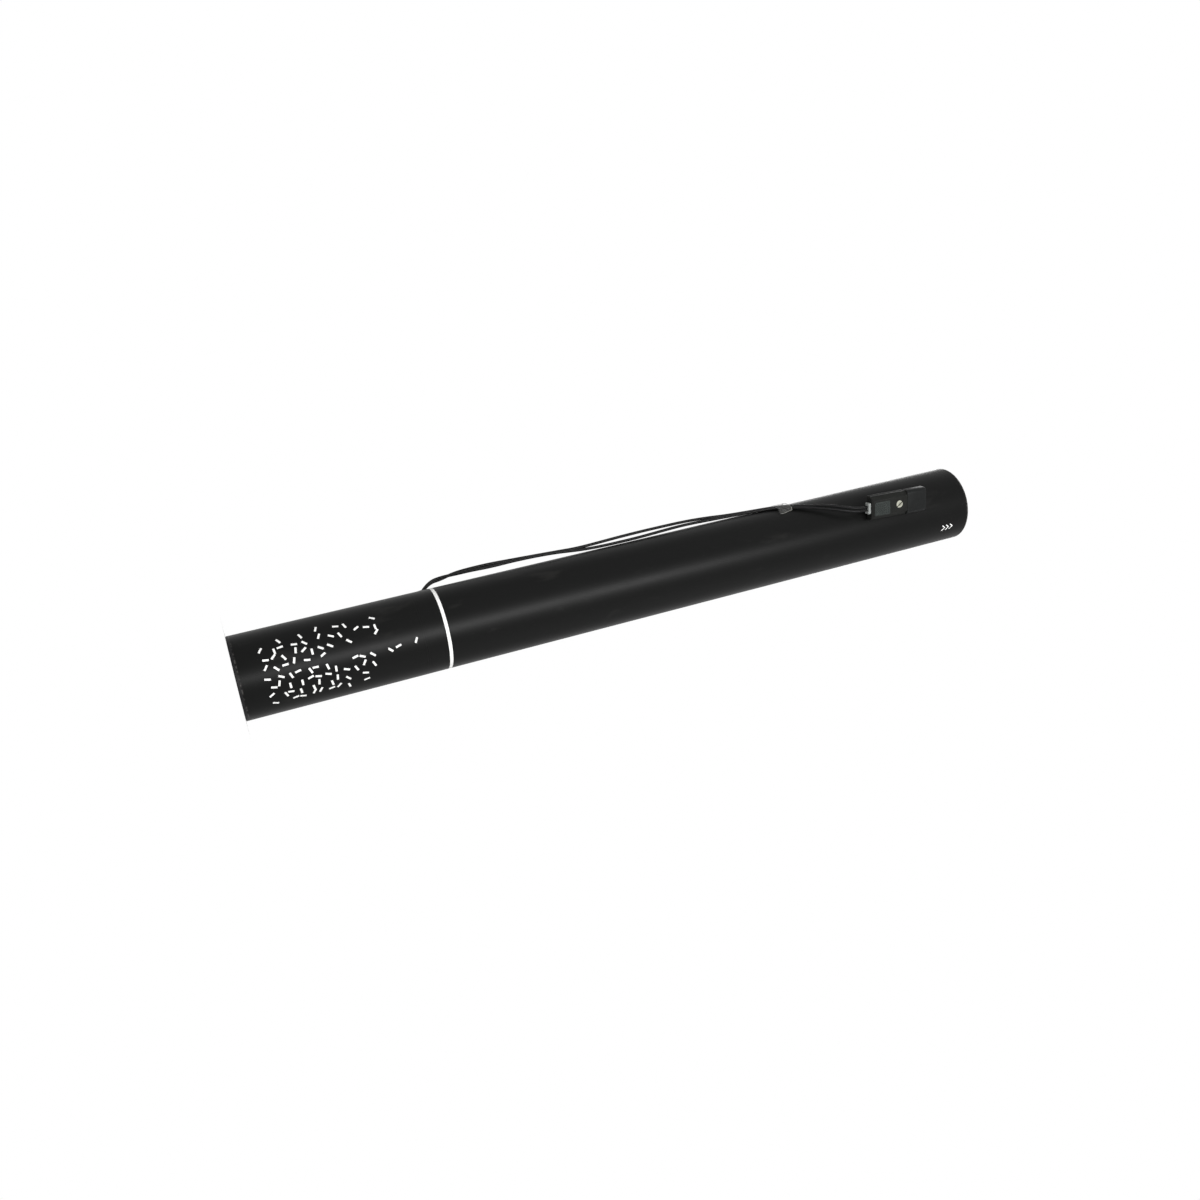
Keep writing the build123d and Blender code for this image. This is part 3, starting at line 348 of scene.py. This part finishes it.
# Aluminium pieces: the machined valve block that bridges the tube, and the thin disc over the bottle's
# neck. Pale, with turning rings round the axis.
def from_axis(place):
    """Distance from the tube's axis."""
    apart = place.node("ShaderNodeSeparateXYZ", None, {"Vector": place})
    across, deep = apart.beside("X"), apart.beside("Y")
    return place.sum("POWER", across * across + deep * deep, 0.5)


turned_aluminium, place = surface("turned_aluminium")
turning_rate = 21000.0
turning = place.sum("SINE", from_axis(place) * turning_rate)
aluminium_cloud = grain(place, size=0.008, detail=3.0)
coat(
    place,
    {
        "Base Color": blend_colour(place, aluminium_cloud, (0.66, 0.67, 0.68), (0.78, 0.79, 0.80)),
        "Metallic": 1.0,
        "Roughness": 0.30 + turning * 0.05,
        "Normal": relief(place, turning, depth=0.00001, strength=0.4),
    },
)
dress(turned_aluminium, "valve_block", "rupture_disc")


# Brass pieces: neck nut, spring cap, terminal screws and contact pins.
# Turned brass, a little dulled where it has been handled.
turned_brass, place = surface("turned_brass")
brass_dull = grain(place, size=0.0016, detail=4.0)
coat(
    place,
    {
        "Base Color": blend_colour(place, brass_dull, (0.44, 0.42, 0.32), (0.28, 0.27, 0.20)),
        "Metallic": 1.0,
        "Roughness": 0.22 + brass_dull * 0.22,
        "Normal": relief(place, grain(place, size=0.0003), depth=0.00001, strength=0.4),
    },
)
dress(turned_brass, "neck_nut", "spring_cap", "terminal_screws", "plug_pins")


# Release trim: nylon fuse line, ceramic heater and the grey nylon terminal block where the leads end.
# Each is a small stock piece, glued or screwed in place. The plug's clamp is of the same grey nylon.
nylon_line, place = surface("nylon_line")
strand = grain(place, size=0.0006, stretch=(1, 0.2, 1))
coat(
    place,
    {
        "Base Color": blend_colour(place, strand, (0.70, 0.69, 0.63), (0.84, 0.83, 0.78)),
        "Roughness": 0.35 + strand * 0.15,
        "Normal": relief(place, strand, depth=0.00003, strength=0.5),
    },
)
dress(nylon_line, "fuse_link")

heater_clay, place = surface("heater_clay")
clay_speck = grain(place, size=0.0004, detail=4.0)
coat(
    place,
    {
        "Base Color": blend_colour(place, clay_speck, (0.60, 0.53, 0.42), (0.70, 0.63, 0.52)),
        "Roughness": 0.6 + clay_speck * 0.2,
        "Normal": relief(place, clay_speck, depth=0.00003, strength=0.5),
    },
)
dress(heater_clay, "heater")

grey_nylon, place = surface("grey_nylon")
nylon_cloud = grain(place, size=0.002, detail=4.0)
coat(
    place,
    {
        "Base Color": blend_colour(place, nylon_cloud, (0.135, 0.142, 0.137), (0.19, 0.198, 0.191)),
        "Roughness": 0.42 + nylon_cloud * 0.16,
        "Specular IOR Level": 0.45,
        "Normal": relief(place, grain(place, size=0.0003), depth=0.00003, strength=0.6),
    },
)
dress(grey_nylon, "terminal_block", "cable_clamp")


# Tube: spiral-wound board, dyed black, with its plies showing as fine rings at the cut muzzle.
# It is cut square at both ends, and the wrap hides it but for the muzzle's end and the inside.
tube_board, place = surface("tube_board")
ply_rate = 17500.0
skin_outside, skin_inside = 0.02494, 0.02480
wall_place = from_axis(place)
plies = place.sum("SINE", wall_place * ply_rate) * 0.5 + 0.5
fibre = grain(place, size=0.0007, detail=4.0, stretch=(1, 1, 0.3))
ply_tone = (plies * 0.45 + fibre * 0.55) * between(place, wall_place, skin_outside, skin_inside)
coat(
    place,
    {
        "Base Color": blend_colour(place, ply_tone, (0.0065, 0.0065, 0.0065), (0.050, 0.046, 0.041)),
        "Roughness": 0.8 + fibre * 0.12,
        "Specular IOR Level": 0.12,
        "Normal": relief(place, ply_tone, depth=0.00006, strength=0.6),
    },
)
dress(tube_board, "cardboard_tube")


# Printed wrap: satin black paper glued round the tube in two lengths, with a lap seam at the back and
# a narrow strip of the same paper in the joint. White ink gives a ring above the wire exit, three
# arrowheads to the muzzle and, on the lower length, a scatter of paper slips that thins out upwards.
def round_turn(apart):
    """Angle round the tube's axis, from the front towards the wires."""
    return apart.sum("ARCTAN2", apart.beside("X") * -1.0, apart.beside("Y") * -1.0)


satin_wrap, place = surface("satin_wrap")
apart = place.node("ShaderNodeSeparateXYZ", None, {"Vector": place})
up = apart.beside("Z")
wrap_turn = round_turn(apart)
round_way = wrap_turn * wrap_radius
lap_turn = -2.55
lap_step = lap_turn + 0.012
lap_shade = lap_turn - 0.006
lap_light, lap_clear = lap_turn + 0.010, lap_turn + 0.018
seam_step = between(place, wrap_turn, lap_turn, lap_step)
seam_line = between(place, wrap_turn, lap_shade, lap_turn) * between(place, wrap_turn, lap_clear, lap_light)
muzzle_rim = between(place, up, 0.4986, 0.4999)
base_rim = between(place, up, 0.0026, 0.0016)
paper_tooth = grain(place, size=0.00035, detail=3.0)
paper_cloud = grain(place, size=0.03, detail=4.0)
scuffs = between(place, grain(place, size=0.012, detail=6.0, stretch=(1, 1, 0.35)), 0.60, 0.74)
worn_spots = between(place, grain(place, size=0.002, detail=4.0), 0.42, 0.62)
rim_wear = (muzzle_rim + base_rim) * worn_spots * 0.5
wear = place.sum("MINIMUM", rim_wear + seam_line * 0.10 + scuffs * 0.05, 1.0)

ring_low, ring_high = 0.1208, 0.1228
ring_print = (up > ring_low) * (up < ring_high)

arrow_middle = math.radians(-15.0) * wrap_radius
arrow_half = 0.0022
arrow_rise = 0.0021
arrow_bar = 0.00105
arrow_pitch = 0.0032
arrow_low = 0.4805
arrow_reach = 2 * arrow_pitch + arrow_bar
arrow_off = place.sum("ABSOLUTE", round_way - arrow_middle)
arrow_climb = up - arrow_low + arrow_off * (arrow_rise / arrow_half)
arrow_row = (arrow_off < arrow_half) * (arrow_climb > 0.0) * (arrow_climb < arrow_reach)
arrow_print = arrow_row * (place.sum("MODULO", arrow_climb, arrow_pitch) < arrow_bar)

slip_cell = 0.0054
printed_slip = (0.0035, 0.0012)
scatter_middle = math.radians(18.0) * wrap_radius
scatter_low = 0.016
scatter_top, scatter_full = 0.108, 0.034
scatter_side, scatter_core = 0.024, 0.016
label_sheet = place.node("ShaderNodeCombineXYZ", None, {"X": round_way, "Y": up})
slip_spot = place.node(
    "ShaderNodeTexVoronoi",
    {"voronoi_dimensions": "2D"},
    {"Vector": label_sheet, "Scale": 1 / slip_cell, "Randomness": 0.6},
    "Position",
)
slip_lot = place.node("ShaderNodeSeparateColor", None, {"Color": slip_spot.beside("Color")}, "Red")
slip_away = place.node("ShaderNodeVectorMath", {"operation": "SUBTRACT"}, {0: label_sheet, 1: slip_spot})
slip_turned = place.node(
    "ShaderNodeVectorRotate",
    {"rotation_type": "Z_AXIS"},
    {"Vector": slip_away, "Angle": slip_lot * math.pi},
)
slip_axes = place.node("ShaderNodeSeparateXYZ", None, {"Vector": slip_turned})
along_slip = place.sum("ABSOLUTE", slip_axes) < printed_slip[0] / 2
across_slip = place.sum("ABSOLUTE", slip_axes.beside("Y")) < printed_slip[1] / 2
spot_axes = place.node("ShaderNodeSeparateXYZ", None, {"Vector": slip_spot})
spot_up = spot_axes.beside("Y")
spot_aside = place.sum("ABSOLUTE", spot_axes - scatter_middle)
chance_up = between(place, spot_up, scatter_top, scatter_full)
chance_aside = between(place, spot_aside, scatter_side, scatter_core)
slip_chance = chance_up * chance_aside * (spot_up > scatter_low)
slip_print = along_slip * across_slip * (slip_lot.beside("Green") < slip_chance)

print_mask = place.sum("MINIMUM", ring_print + arrow_print + slip_print, 1.0)
ink_break = between(place, grain(place, size=0.0008, detail=4.0), 0.55, 0.85)
ink_tone = blend_colour(place, ink_break, (0.62, 0.62, 0.61), (0.50, 0.50, 0.49))
paper_tone = blend_colour(place, wear, (0.0034, 0.0035, 0.0034), (0.11, 0.105, 0.10))
paper_height = seam_step * 2.0 + paper_tooth * 0.18 + paper_cloud * 0.5
coat(
    place,
    {
        "Base Color": blend_colour(place, print_mask, paper_tone, ink_tone),
        "Roughness": 0.33 + paper_cloud * 0.08 + scuffs * 0.10 + paper_tooth * 0.05 + print_mask * 0.1,
        "Specular IOR Level": 0.07,
        "Normal": relief(place, paper_height, depth=0.00006, strength=0.5),
    },
)
dress(satin_wrap, "tube_wrap", "base_label")


def face_outwards():
    """Recalculates the active piece's normals."""
    bpy.ops.object.mode_set(mode="EDIT")
    bpy.ops.mesh.select_all(action="SELECT")
    bpy.ops.mesh.normals_make_consistent(inside=False)
    bpy.ops.object.mode_set(mode="OBJECT")


strip_clear = 0.00002
strip_sunk = 0.000005
strip_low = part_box("base_label")[1][2] + strip_clear
strip_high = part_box("tube_wrap")[0][2] - strip_clear
bpy.ops.object.select_all(action="DESELECT")
bpy.ops.mesh.primitive_cylinder_add(
    vertices=192,
    radius=wrap_radius - strip_sunk,
    depth=strip_high - strip_low,
    end_fill_type="NOTHING",
    location=(0, 0, (strip_high + strip_low) / 2),
)
butt_strip = bpy.context.object
butt_strip.name = "butt_strip"
bpy.ops.object.transform_apply(location=True, rotation=True, scale=True)
strip_wall = butt_strip.modifiers.new("strip_wall", "SOLIDIFY")
strip_wall.thickness = 0.00032
strip_wall.offset = -1.0
bpy.ops.object.modifier_apply(modifier="strip_wall")
face_outwards()
finish_skin(butt_strip, satin_wrap, crease=40)
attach(butt_strip, "body")


# Firing wires: two single PVC-covered wires that leave the grommet near the base, run up clear of the
# tube, lie side by side under the tape and end in the plug's clamp. The leads inside are the same wire.
wire_cover, place = surface("wire_cover")
wire_dust = grain(place, size=0.004, detail=3.0)
coat(
    place,
    {
        "Base Color": blend_colour(place, wire_dust, (0.0030, 0.0030, 0.0031), (0.0056, 0.0056, 0.0057)),
        "Roughness": 0.30 + wire_dust * 0.16,
        "Specular IOR Level": 0.09,
        "Normal": relief(place, grain(place, size=0.0012), depth=0.00004, strength=0.5),
    },
)
dress(wire_cover, "inner_leads", "plug_leads")

wire_diameter = 0.0019
wire_routes = {
    "wire_a": [
        (-0.01922, 0.01807, 0.11906),
        (-0.02196, 0.02092, 0.12376),
        (-0.02290, 0.02023, 0.13121),
        (-0.02536, 0.01963, 0.13920),
        (-0.02676, 0.01791, 0.14964),
        (-0.02747, 0.01631, 0.16244),
        (-0.02724, 0.01511, 0.17717),
        (-0.02690, 0.01416, 0.19214),
        (-0.02653, 0.01312, 0.20685),
        (-0.02610, 0.01231, 0.21960),
        (-0.02648, 0.01215, 0.23233),
        (-0.02701, 0.01228, 0.24824),
        (-0.02731, 0.01236, 0.26400),
        (-0.02733, 0.01238, 0.28005),
        (-0.02728, 0.01223, 0.29592),
        (-0.02665, 0.01158, 0.31193),
        (-0.02546, 0.01034, 0.32751),
        (-0.02531, 0.00824, 0.34333),
        (-0.02595, 0.00484, 0.35700),
        (-0.02633, 0.00196, 0.36520),
        (-0.02636, -0.00138, 0.37060),
        (-0.02653, -0.00797, 0.38181),
        (-0.02638, -0.01364, 0.39060),
        (-0.02546, -0.01947, 0.39893),
        (-0.02364, -0.02476, 0.40817),
        (-0.02333, -0.02480, 0.41527),
    ],
    "wire_b": [
        (-0.02057, 0.01652, 0.11906),
        (-0.02350, 0.01943, 0.12380),
        (-0.02503, 0.01874, 0.13172),
        (-0.02554, 0.01707, 0.14009),
        (-0.02647, 0.01509, 0.14978),
        (-0.02658, 0.01352, 0.16203),
        (-0.02724, 0.01282, 0.17715),
        (-0.02729, 0.01208, 0.19190),
        (-0.02678, 0.01113, 0.20663),
        (-0.02552, 0.01011, 0.21967),
        (-0.02483, 0.00953, 0.23247),
        (-0.02476, 0.00930, 0.24841),
        (-0.02499, 0.00916, 0.26415),
        (-0.02565, 0.00932, 0.28014),
        (-0.02614, 0.00930, 0.29582),
        (-0.02582, 0.00869, 0.31170),
        (-0.02549, 0.00778, 0.32738),
        (-0.02575, 0.00604, 0.34332),
        (-0.02626, 0.00268, 0.35700),
        (-0.02640, -0.00048, 0.36520),
        (-0.02610, -0.00395, 0.37060),
        (-0.02563, -0.01050, 0.38181),
        (-0.02483, -0.01593, 0.39060),
        (-0.02339, -0.02118, 0.39893),
        (-0.02159, -0.02498, 0.40808),
        (-0.02128, -0.02502, 0.41518),
    ],
}
wire_pieces = ["plug_base", "plug_cover", "plug_screw", "plug_nut", "plug_pins", "pin_screws"]
wire_pieces += ["cable_clamp", "plug_leads"]
for wire_node, route in wire_routes.items():
    line = bpy.data.curves.new("firing_" + wire_node, "CURVE")
    line.dimensions = "3D"
    line.resolution_u = 8
    line.bevel_depth = wire_diameter / 2
    line.bevel_resolution = 5
    line.use_fill_caps = True
    spline = line.splines.new("NURBS")
    spline.points.add(len(route) - 1)
    for point, spot in zip(spline.points, route):
        point.co = (*spot, 1)
    spline.order_u = 3
    spline.use_endpoint_u = True
    wire = bpy.data.objects.new("firing_" + wire_node, line)
    bpy.context.scene.collection.objects.link(wire)
    line.materials.append(wire_cover)
    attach(wire, "body")
    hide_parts(wire_node)


# Tape: a strip of clear tape laid over the two wires and pressed down on the wrap each side of them.
# It has small tension creases between the wires and a corner that has lifted.
clear_film, place = surface("clear_film")
film_low = 0.3596
film_width = 0.0098
film_rows = 18
film_steps = 30
film_ends = (74.5, 112.6)
film_slant = 3.5
film_free = 82.0
# Degrees round the tube from its front, and the film's height off the wrap there.
film_path = [
    (73.0, 0.00006),
    (76.0, 0.00012),
    (78.0, 0.00055),
    (80.0, 0.00140),
    (81.0, 0.00200),
    (82.5, 0.00214),
    (101.0, 0.00214),
    (102.0, 0.00207),
    (104.5, 0.00114),
    (107.0, 0.00026),
    (109.0, 0.00008),
    (113.0, 0.00006),
]
glow_inside, glow_outside = math.radians(1.3), math.radians(0.5)
film_crease = grain(place, size=0.0022, detail=3.0, stretch=(1, 1, 0.25))
film_cloud = grain(place, size=0.005, detail=4.0)
apart = place.node("ShaderNodeSeparateXYZ", None, {"Vector": place})
film_row = (apart.beside("Z") - film_low) * (1 / film_width)
film_cut = film_row * math.radians(film_slant) + math.radians(film_ends[0])
# Painted highlight: the film is lighter and more opaque along its slanted lower edge and along its top
# edge.
low_edge_highlight = between(place, round_turn(apart) - film_cut, glow_inside, glow_outside)
top_edge_highlight = between(place, film_row, 0.92, 0.97)
film_edge_highlight = place.sum("MAXIMUM", low_edge_highlight, top_edge_highlight)
film_tone = blend_colour(place, film_cloud, (0.09, 0.09, 0.086), (0.14, 0.14, 0.135))
coat(
    place,
    {
        # The painted highlight turns the base colour to the lighter edge colour, and below it raises the
        # alpha at the edges.
        "Base Color": blend_colour(place, film_edge_highlight, film_tone, (0.17, 0.17, 0.155)),
        "Roughness": 0.14 + film_cloud * 0.16,
        "Alpha": 0.08 + film_cloud * 0.12 + film_edge_highlight * 0.45,
        "Specular IOR Level": 0.22,
        "Normal": relief(place, film_crease, depth=0.0002, strength=0.7),
    },
)

wave_count = 40
wave_height = 0.00004
wave_from = 0.001
corner_steps = 4.0
corner_rows = 0.5
corner_lift = 0.0005
bpy.ops.object.select_all(action="DESELECT")
bpy.ops.mesh.primitive_grid_add(x_subdivisions=film_steps, y_subdivisions=film_rows, size=1.0)
wire_film = bpy.context.object
wire_film.name = "wire_film"
wobble = random.Random(3)
film_wave = [wobble.uniform(-1, 1) for wave in range(wave_count)]
for vertex in wire_film.data.vertices:
    step = round((vertex.co.x + 0.5) * film_steps)
    row = vertex.co.y + 0.5
    angle = film_ends[0] + (film_ends[1] - film_ends[0]) * step / film_steps
    if angle < film_free:
        cut = film_ends[0] + film_slant * row
        angle = cut + (angle - film_ends[0]) * (film_free - cut) / (film_free - film_ends[0])
    for (low_angle, low_lift), (high_angle, high_lift) in zip(film_path, film_path[1:]):
        if low_angle <= angle <= high_angle:
            lift = low_lift + (high_lift - low_lift) * (angle - low_angle) / (high_angle - low_angle)
    if lift > wave_from:
        lift += wave_height * (1 + film_wave[(step * 3 + round(row * film_rows)) % wave_count])
    lifted = max(0.0, 1 - step / corner_steps) * max(0.0, (corner_rows - row) / corner_rows)
    lift += corner_lift * lifted * lifted
    radius = wrap_radius + lift
    turn = math.radians(angle)
    vertex.co = (-radius * math.sin(turn), -radius * math.cos(turn), film_low + film_width * row)
film_wall = wire_film.modifiers.new("film_wall", "SOLIDIFY")
film_wall.thickness = 0.0001
film_wall.offset = 1.0
bpy.ops.object.modifier_apply(modifier="film_wall")
face_outwards()
finish_skin(wire_film, clear_film, crease=50)
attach(wire_film, "body")
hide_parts("wire_tape")
wire_pieces.append(wire_film.name)


# Plug: two-part moulding held by one slotted brass screw. The back half carries the smooth hood round
# the pins, and the cover has a dotted grip; both have softly rounded edges from the mould.
def along_line(place, direction):
    """Distance along a direction."""
    return place.node("ShaderNodeVectorMath", {"operation": "DOT_PRODUCT"}, {0: place, 1: direction}, 1)


plug_shade, place = surface("plug_shade")
plug_along = Vector((0.043364, -0.004711, 0.999048))
plug_out = Vector((-0.107999, -0.994151, 0.0))
body_end, hood_start = 0.4436, 0.4438
pad_foot, pad_face = 0.03127, 0.03145
hood_share = between(place, along_line(place, plug_along), body_end, hood_start)
pad_share = between(place, along_line(place, plug_out), pad_foot, pad_face) * (1.0 - hood_share)
spark_tooth = grain(place, size=0.00028, detail=3.0)
plug_handle = grain(place, size=0.004, detail=4.0)
body_tone = blend_colour(place, plug_handle, (0.0050, 0.0052, 0.0047), (0.0090, 0.0093, 0.0085))
hood_tone = blend_colour(place, plug_handle, (0.0048, 0.0052, 0.0052), (0.0086, 0.0092, 0.0092))
pad_tone = blend_colour(place, plug_handle, (0.016, 0.0185, 0.0175), (0.024, 0.0275, 0.0258))
plug_tone = blend_colour(place, hood_share, body_tone, hood_tone)
plug_tooth = spark_tooth * (1.0 - hood_share * 0.7)
coat(
    place,
    {
        "Base Color": blend_colour(place, pad_share, plug_tone, pad_tone),
        "Roughness": 0.50 - hood_share * 0.10 + plug_handle * 0.10,
        "Specular IOR Level": 0.08,
        "Normal": relief(place, plug_tooth, depth=0.00006, strength=0.6),
    },
)

plug_joint = max(vertex.co.dot(plug_along) for vertex in cad["plug_cover"].data.vertices)
joint_reach = 0.0002
joint_round = 0.25
mould_crease = 35
for plug_node, plug_slot in (("plug_base", "dark_plastic"), ("plug_cover", "black_plastic")):
    moulding = merged_copy("moulded_" + plug_node, plug_node)
    bpy.ops.mesh.dissolve_limited(angle_limit=math.radians(1.0))
    bpy.ops.mesh.select_mode(type="EDGE")
    bpy.ops.mesh.select_all(action="DESELECT")
    bpy.ops.mesh.edges_select_sharp(sharpness=math.radians(mould_crease))
    bpy.ops.object.mode_set(mode="OBJECT")
    edge_round = moulding.data.attributes.new("bevel_weight_edge", "FLOAT", "EDGE")
    for edge in moulding.data.edges:
        edge_ends = [moulding.data.vertices[end].co.dot(plug_along) for end in edge.vertices]
        at_joint = max(abs(end - plug_joint) for end in edge_ends) < joint_reach
        edge_round.data[edge.index].value = edge.select * (joint_round if at_joint else 1.0)
    mould_edges = moulding.modifiers.new("mould_edges", "BEVEL")
    mould_edges.width = 0.00022
    mould_edges.segments = 2
    mould_edges.limit_method = "WEIGHT"
    mould_edges.use_clamp_overlap = True
    bpy.ops.object.modifier_apply(modifier="mould_edges")
    finish_skin(moulding, plug_shade, crease=mould_crease)
    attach(moulding, "body")
    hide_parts(plug_node)
    wire_pieces[wire_pieces.index(plug_node)] = moulding.name

screw_brass, place = surface("screw_brass")
face_depth = 0.0001
slot_shade, slot_floor = 0.00031, 0.00040
# Radii of the painted shade round the head's middle: none at the first, full inside the second.
middle_shade_edge, middle_shade_core = 0.0017, 0.0011
screw_points = [vertex.co for vertex in cad["plug_screw"].data.vertices]
screw_top = max(point.dot(plug_out) for point in screw_points)
face_points = [point for point in screw_points if point.dot(plug_out) > screw_top - face_depth]
face_middle = sum(face_points, Vector()) / len(face_points)
off_middle = place.node("ShaderNodeVectorMath", {"operation": "DISTANCE"}, {0: place, 1: face_middle}, 1)
# Painted shade in the slot, darker with depth below the head's top.
slot_painted_shade = between(place, along_line(place, plug_out), screw_top - slot_shade, screw_top - slot_floor)
# Painted shade round the middle of the head, made uneven by noise; with the slot's it darkens the colour
# and roughens it.
middle_shade_strength = 0.35 + grain(place, size=0.0005, detail=3.0) * 0.5
middle_painted_shade = between(place, off_middle, middle_shade_edge, middle_shade_core) * middle_shade_strength
screw_painted_shade = place.sum("MAXIMUM", slot_painted_shade, middle_painted_shade)
coat(
    place,
    {
        "Base Color": blend_colour(place, screw_painted_shade, (0.53, 0.53, 0.45), (0.07, 0.07, 0.055)),
        "Metallic": 1.0,
        "Roughness": 0.24 + screw_painted_shade * 0.3,
        "Normal": relief(place, grain(place, size=0.0003), depth=0.00001, strength=0.4),
    },
)
dress(screw_brass, "plug_screw")


# Wad: thick disc of pressed grey felt, a sliding fit in the tube, that the gas drives up under the paper.
# It is punched from a sheet, so its rim is rounded over and its faces are hairy.
felt_grey, place = surface("felt_grey")
felt_hair = grain(place, size=0.0006, detail=6.0)
felt_cloud = grain(place, size=0.004, detail=3.0)
felt_mix = felt_hair * 0.6 + felt_cloud * 0.4
coat(
    place,
    {
        "Base Color": blend_colour(place, felt_mix, (0.30, 0.29, 0.27), (0.56, 0.54, 0.51)),
        "Roughness": 0.95,
        "Specular IOR Level": 0.1,
        "Sheen Weight": 0.3,
        "Normal": relief(place, felt_hair, depth=0.0003, strength=0.8),
    },
)

wad_low, wad_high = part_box("wad")
wad_radius = (wad_high[0] - wad_low[0]) / 2
level_face = 0.9
felt_rings = 4
felt_crease = 60
felt_pull = 0.008
bpy.ops.object.select_all(action="DESELECT")
bpy.ops.mesh.primitive_cylinder_add(
    vertices=96,
    radius=wad_radius,
    depth=wad_high[2] - wad_low[2],
    end_fill_type="NGON",
    location=(0, 0, (wad_high[2] + wad_low[2]) / 2),
)
felt_wad = bpy.context.object
felt_wad.name = "felt_wad"
bpy.ops.object.transform_apply(location=True, rotation=True, scale=True)
bpy.ops.object.mode_set(mode="EDIT")
bpy.ops.mesh.select_mode(type="FACE")
bpy.ops.mesh.select_all(action="DESELECT")
bpy.ops.object.mode_set(mode="OBJECT")
for face in felt_wad.data.polygons:
    face.select = abs(face.normal.z) > level_face
bpy.ops.object.mode_set(mode="EDIT")
for ring in range(felt_rings):
    bpy.ops.mesh.inset(thickness=wad_radius / (felt_rings + 1), depth=0)
bpy.ops.object.mode_set(mode="OBJECT")
felt_edge = felt_wad.modifiers.new("felt_edge", "BEVEL")
felt_edge.width = 0.0011
felt_edge.segments = 4
felt_edge.limit_method = "ANGLE"
felt_edge.angle_limit = math.radians(felt_crease)
bpy.ops.object.modifier_apply(modifier="felt_edge")
felt_lumps = random.Random(11)
for vertex in felt_wad.data.vertices:
    pull = 1 - felt_pull * felt_lumps.random()
    vertex.co.x *= pull
    vertex.co.y *= pull
finish_skin(felt_wad, felt_grey, crease=felt_crease)
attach(felt_wad, "load")
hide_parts("wad")


# Paper load: stacks of cut tissue slips in bright colours, four stacks side by side in each layer.
# Every slip is a little out of line with its neighbours.
slip_colours = {
    "orange": ((0.86, 0.30, 0.04), (0.93, 0.38, 0.06)),
    "yellow": ((0.90, 0.74, 0.05), (0.96, 0.82, 0.10)),
    "blue": ((0.03, 0.12, 0.45), (0.05, 0.18, 0.56)),
    "green": ((0.03, 0.36, 0.07), (0.06, 0.46, 0.10)),
    "red": ((0.62, 0.02, 0.03), (0.74, 0.04, 0.05)),
    "cyan": ((0.04, 0.48, 0.66), (0.08, 0.58, 0.76)),
}
corner_places = ((1, 1), (-1, 1), (-1, -1), (1, -1))
stacks_in_layer = len(corner_places)
layer_count = 6
slips_in_stack = 22
stack_side = 0.0159
stack_gap = 0.0003
stack_low = wad_high[2] + stack_gap
stack_off = (stack_side + stack_gap) / 2
slip_length = 0.054
slip_shift = 0.00016
slip_width = stack_side - 2 * slip_shift
slip_pitch = stack_side / slips_in_stack
slip_thickness = slip_pitch * 0.82
layer_pitch = slip_length + stack_gap
shuffle = random.Random(5)
for colour_index, (colour_name, (dark_tone, light_tone)) in enumerate(slip_colours.items()):
    slip_paper, place = surface("slip_paper_" + colour_name)
    tissue = grain(place, size=0.0012, detail=5.0)
    coat(
        place,
        {
            "Base Color": blend_colour(place, tissue, dark_tone, light_tone),
            "Roughness": 0.72 + tissue * 0.12,
            "Specular IOR Level": 0.25,
            "Normal": relief(place, tissue, depth=0.0001, strength=0.5),
        },
    )
    bpy.ops.object.select_all(action="DESELECT")
    bpy.ops.mesh.primitive_plane_add(size=1.0)
    slip_stack = bpy.context.object
    slip_stack.name = "slips_" + colour_name
    bpy.ops.object.mode_set(mode="EDIT")
    bpy.ops.mesh.select_all(action="SELECT")
    bpy.ops.mesh.delete(type="VERT")
    for stack in range(stacks_in_layer * layer_count):
        if stack % len(slip_colours) != colour_index:
            continue
        layer = stack // stacks_in_layer
        corner_x, corner_y = corner_places[stack % stacks_in_layer]
        slip_level = stack_low + layer * layer_pitch + slip_length / 2
        turned = (stack + layer) % 2
        for slip in range(slips_in_stack):
            ahead = (slip + 0.5) * slip_pitch - stack_side / 2
            aside = shuffle.uniform(-slip_shift, slip_shift)
            middle = ((ahead, aside), (aside, ahead))[turned]
            sides = ((slip_thickness, slip_width), (slip_width, slip_thickness))[turned]
            bpy.ops.mesh.select_all(action="DESELECT")
            bpy.ops.mesh.primitive_cube_add(
                size=1.0,
                location=(
                    corner_x * stack_off + middle[0],
                    corner_y * stack_off + middle[1],
                    slip_level + shuffle.uniform(-slip_shift, slip_shift) / 2,
                ),
                scale=(*sides, slip_length - slip_shift),
            )
    bpy.ops.object.mode_set(mode="OBJECT")
    slip_stack.data.materials.append(slip_paper)
    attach(slip_stack, "load")
    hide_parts("confetti_" + colour_name)


# Muzzle lid: thin dished disc of black card, die-cut and pressed in just below the muzzle's rim.
# It holds the paper in and leaves with it.
lid_card, place = surface("lid_card")
lid_fibre = grain(place, size=0.0009, detail=5.0)
coat(
    place,
    {
        "Base Color": blend_colour(place, lid_fibre, (0.010, 0.010, 0.0105), (0.026, 0.026, 0.026)),
        "Roughness": 0.55 + lid_fibre * 0.2,
        "Specular IOR Level": 0.15,
        "Normal": relief(place, lid_fibre, depth=0.00005, strength=0.5),
    },
)
dress(lid_card, "muzzle_lid")
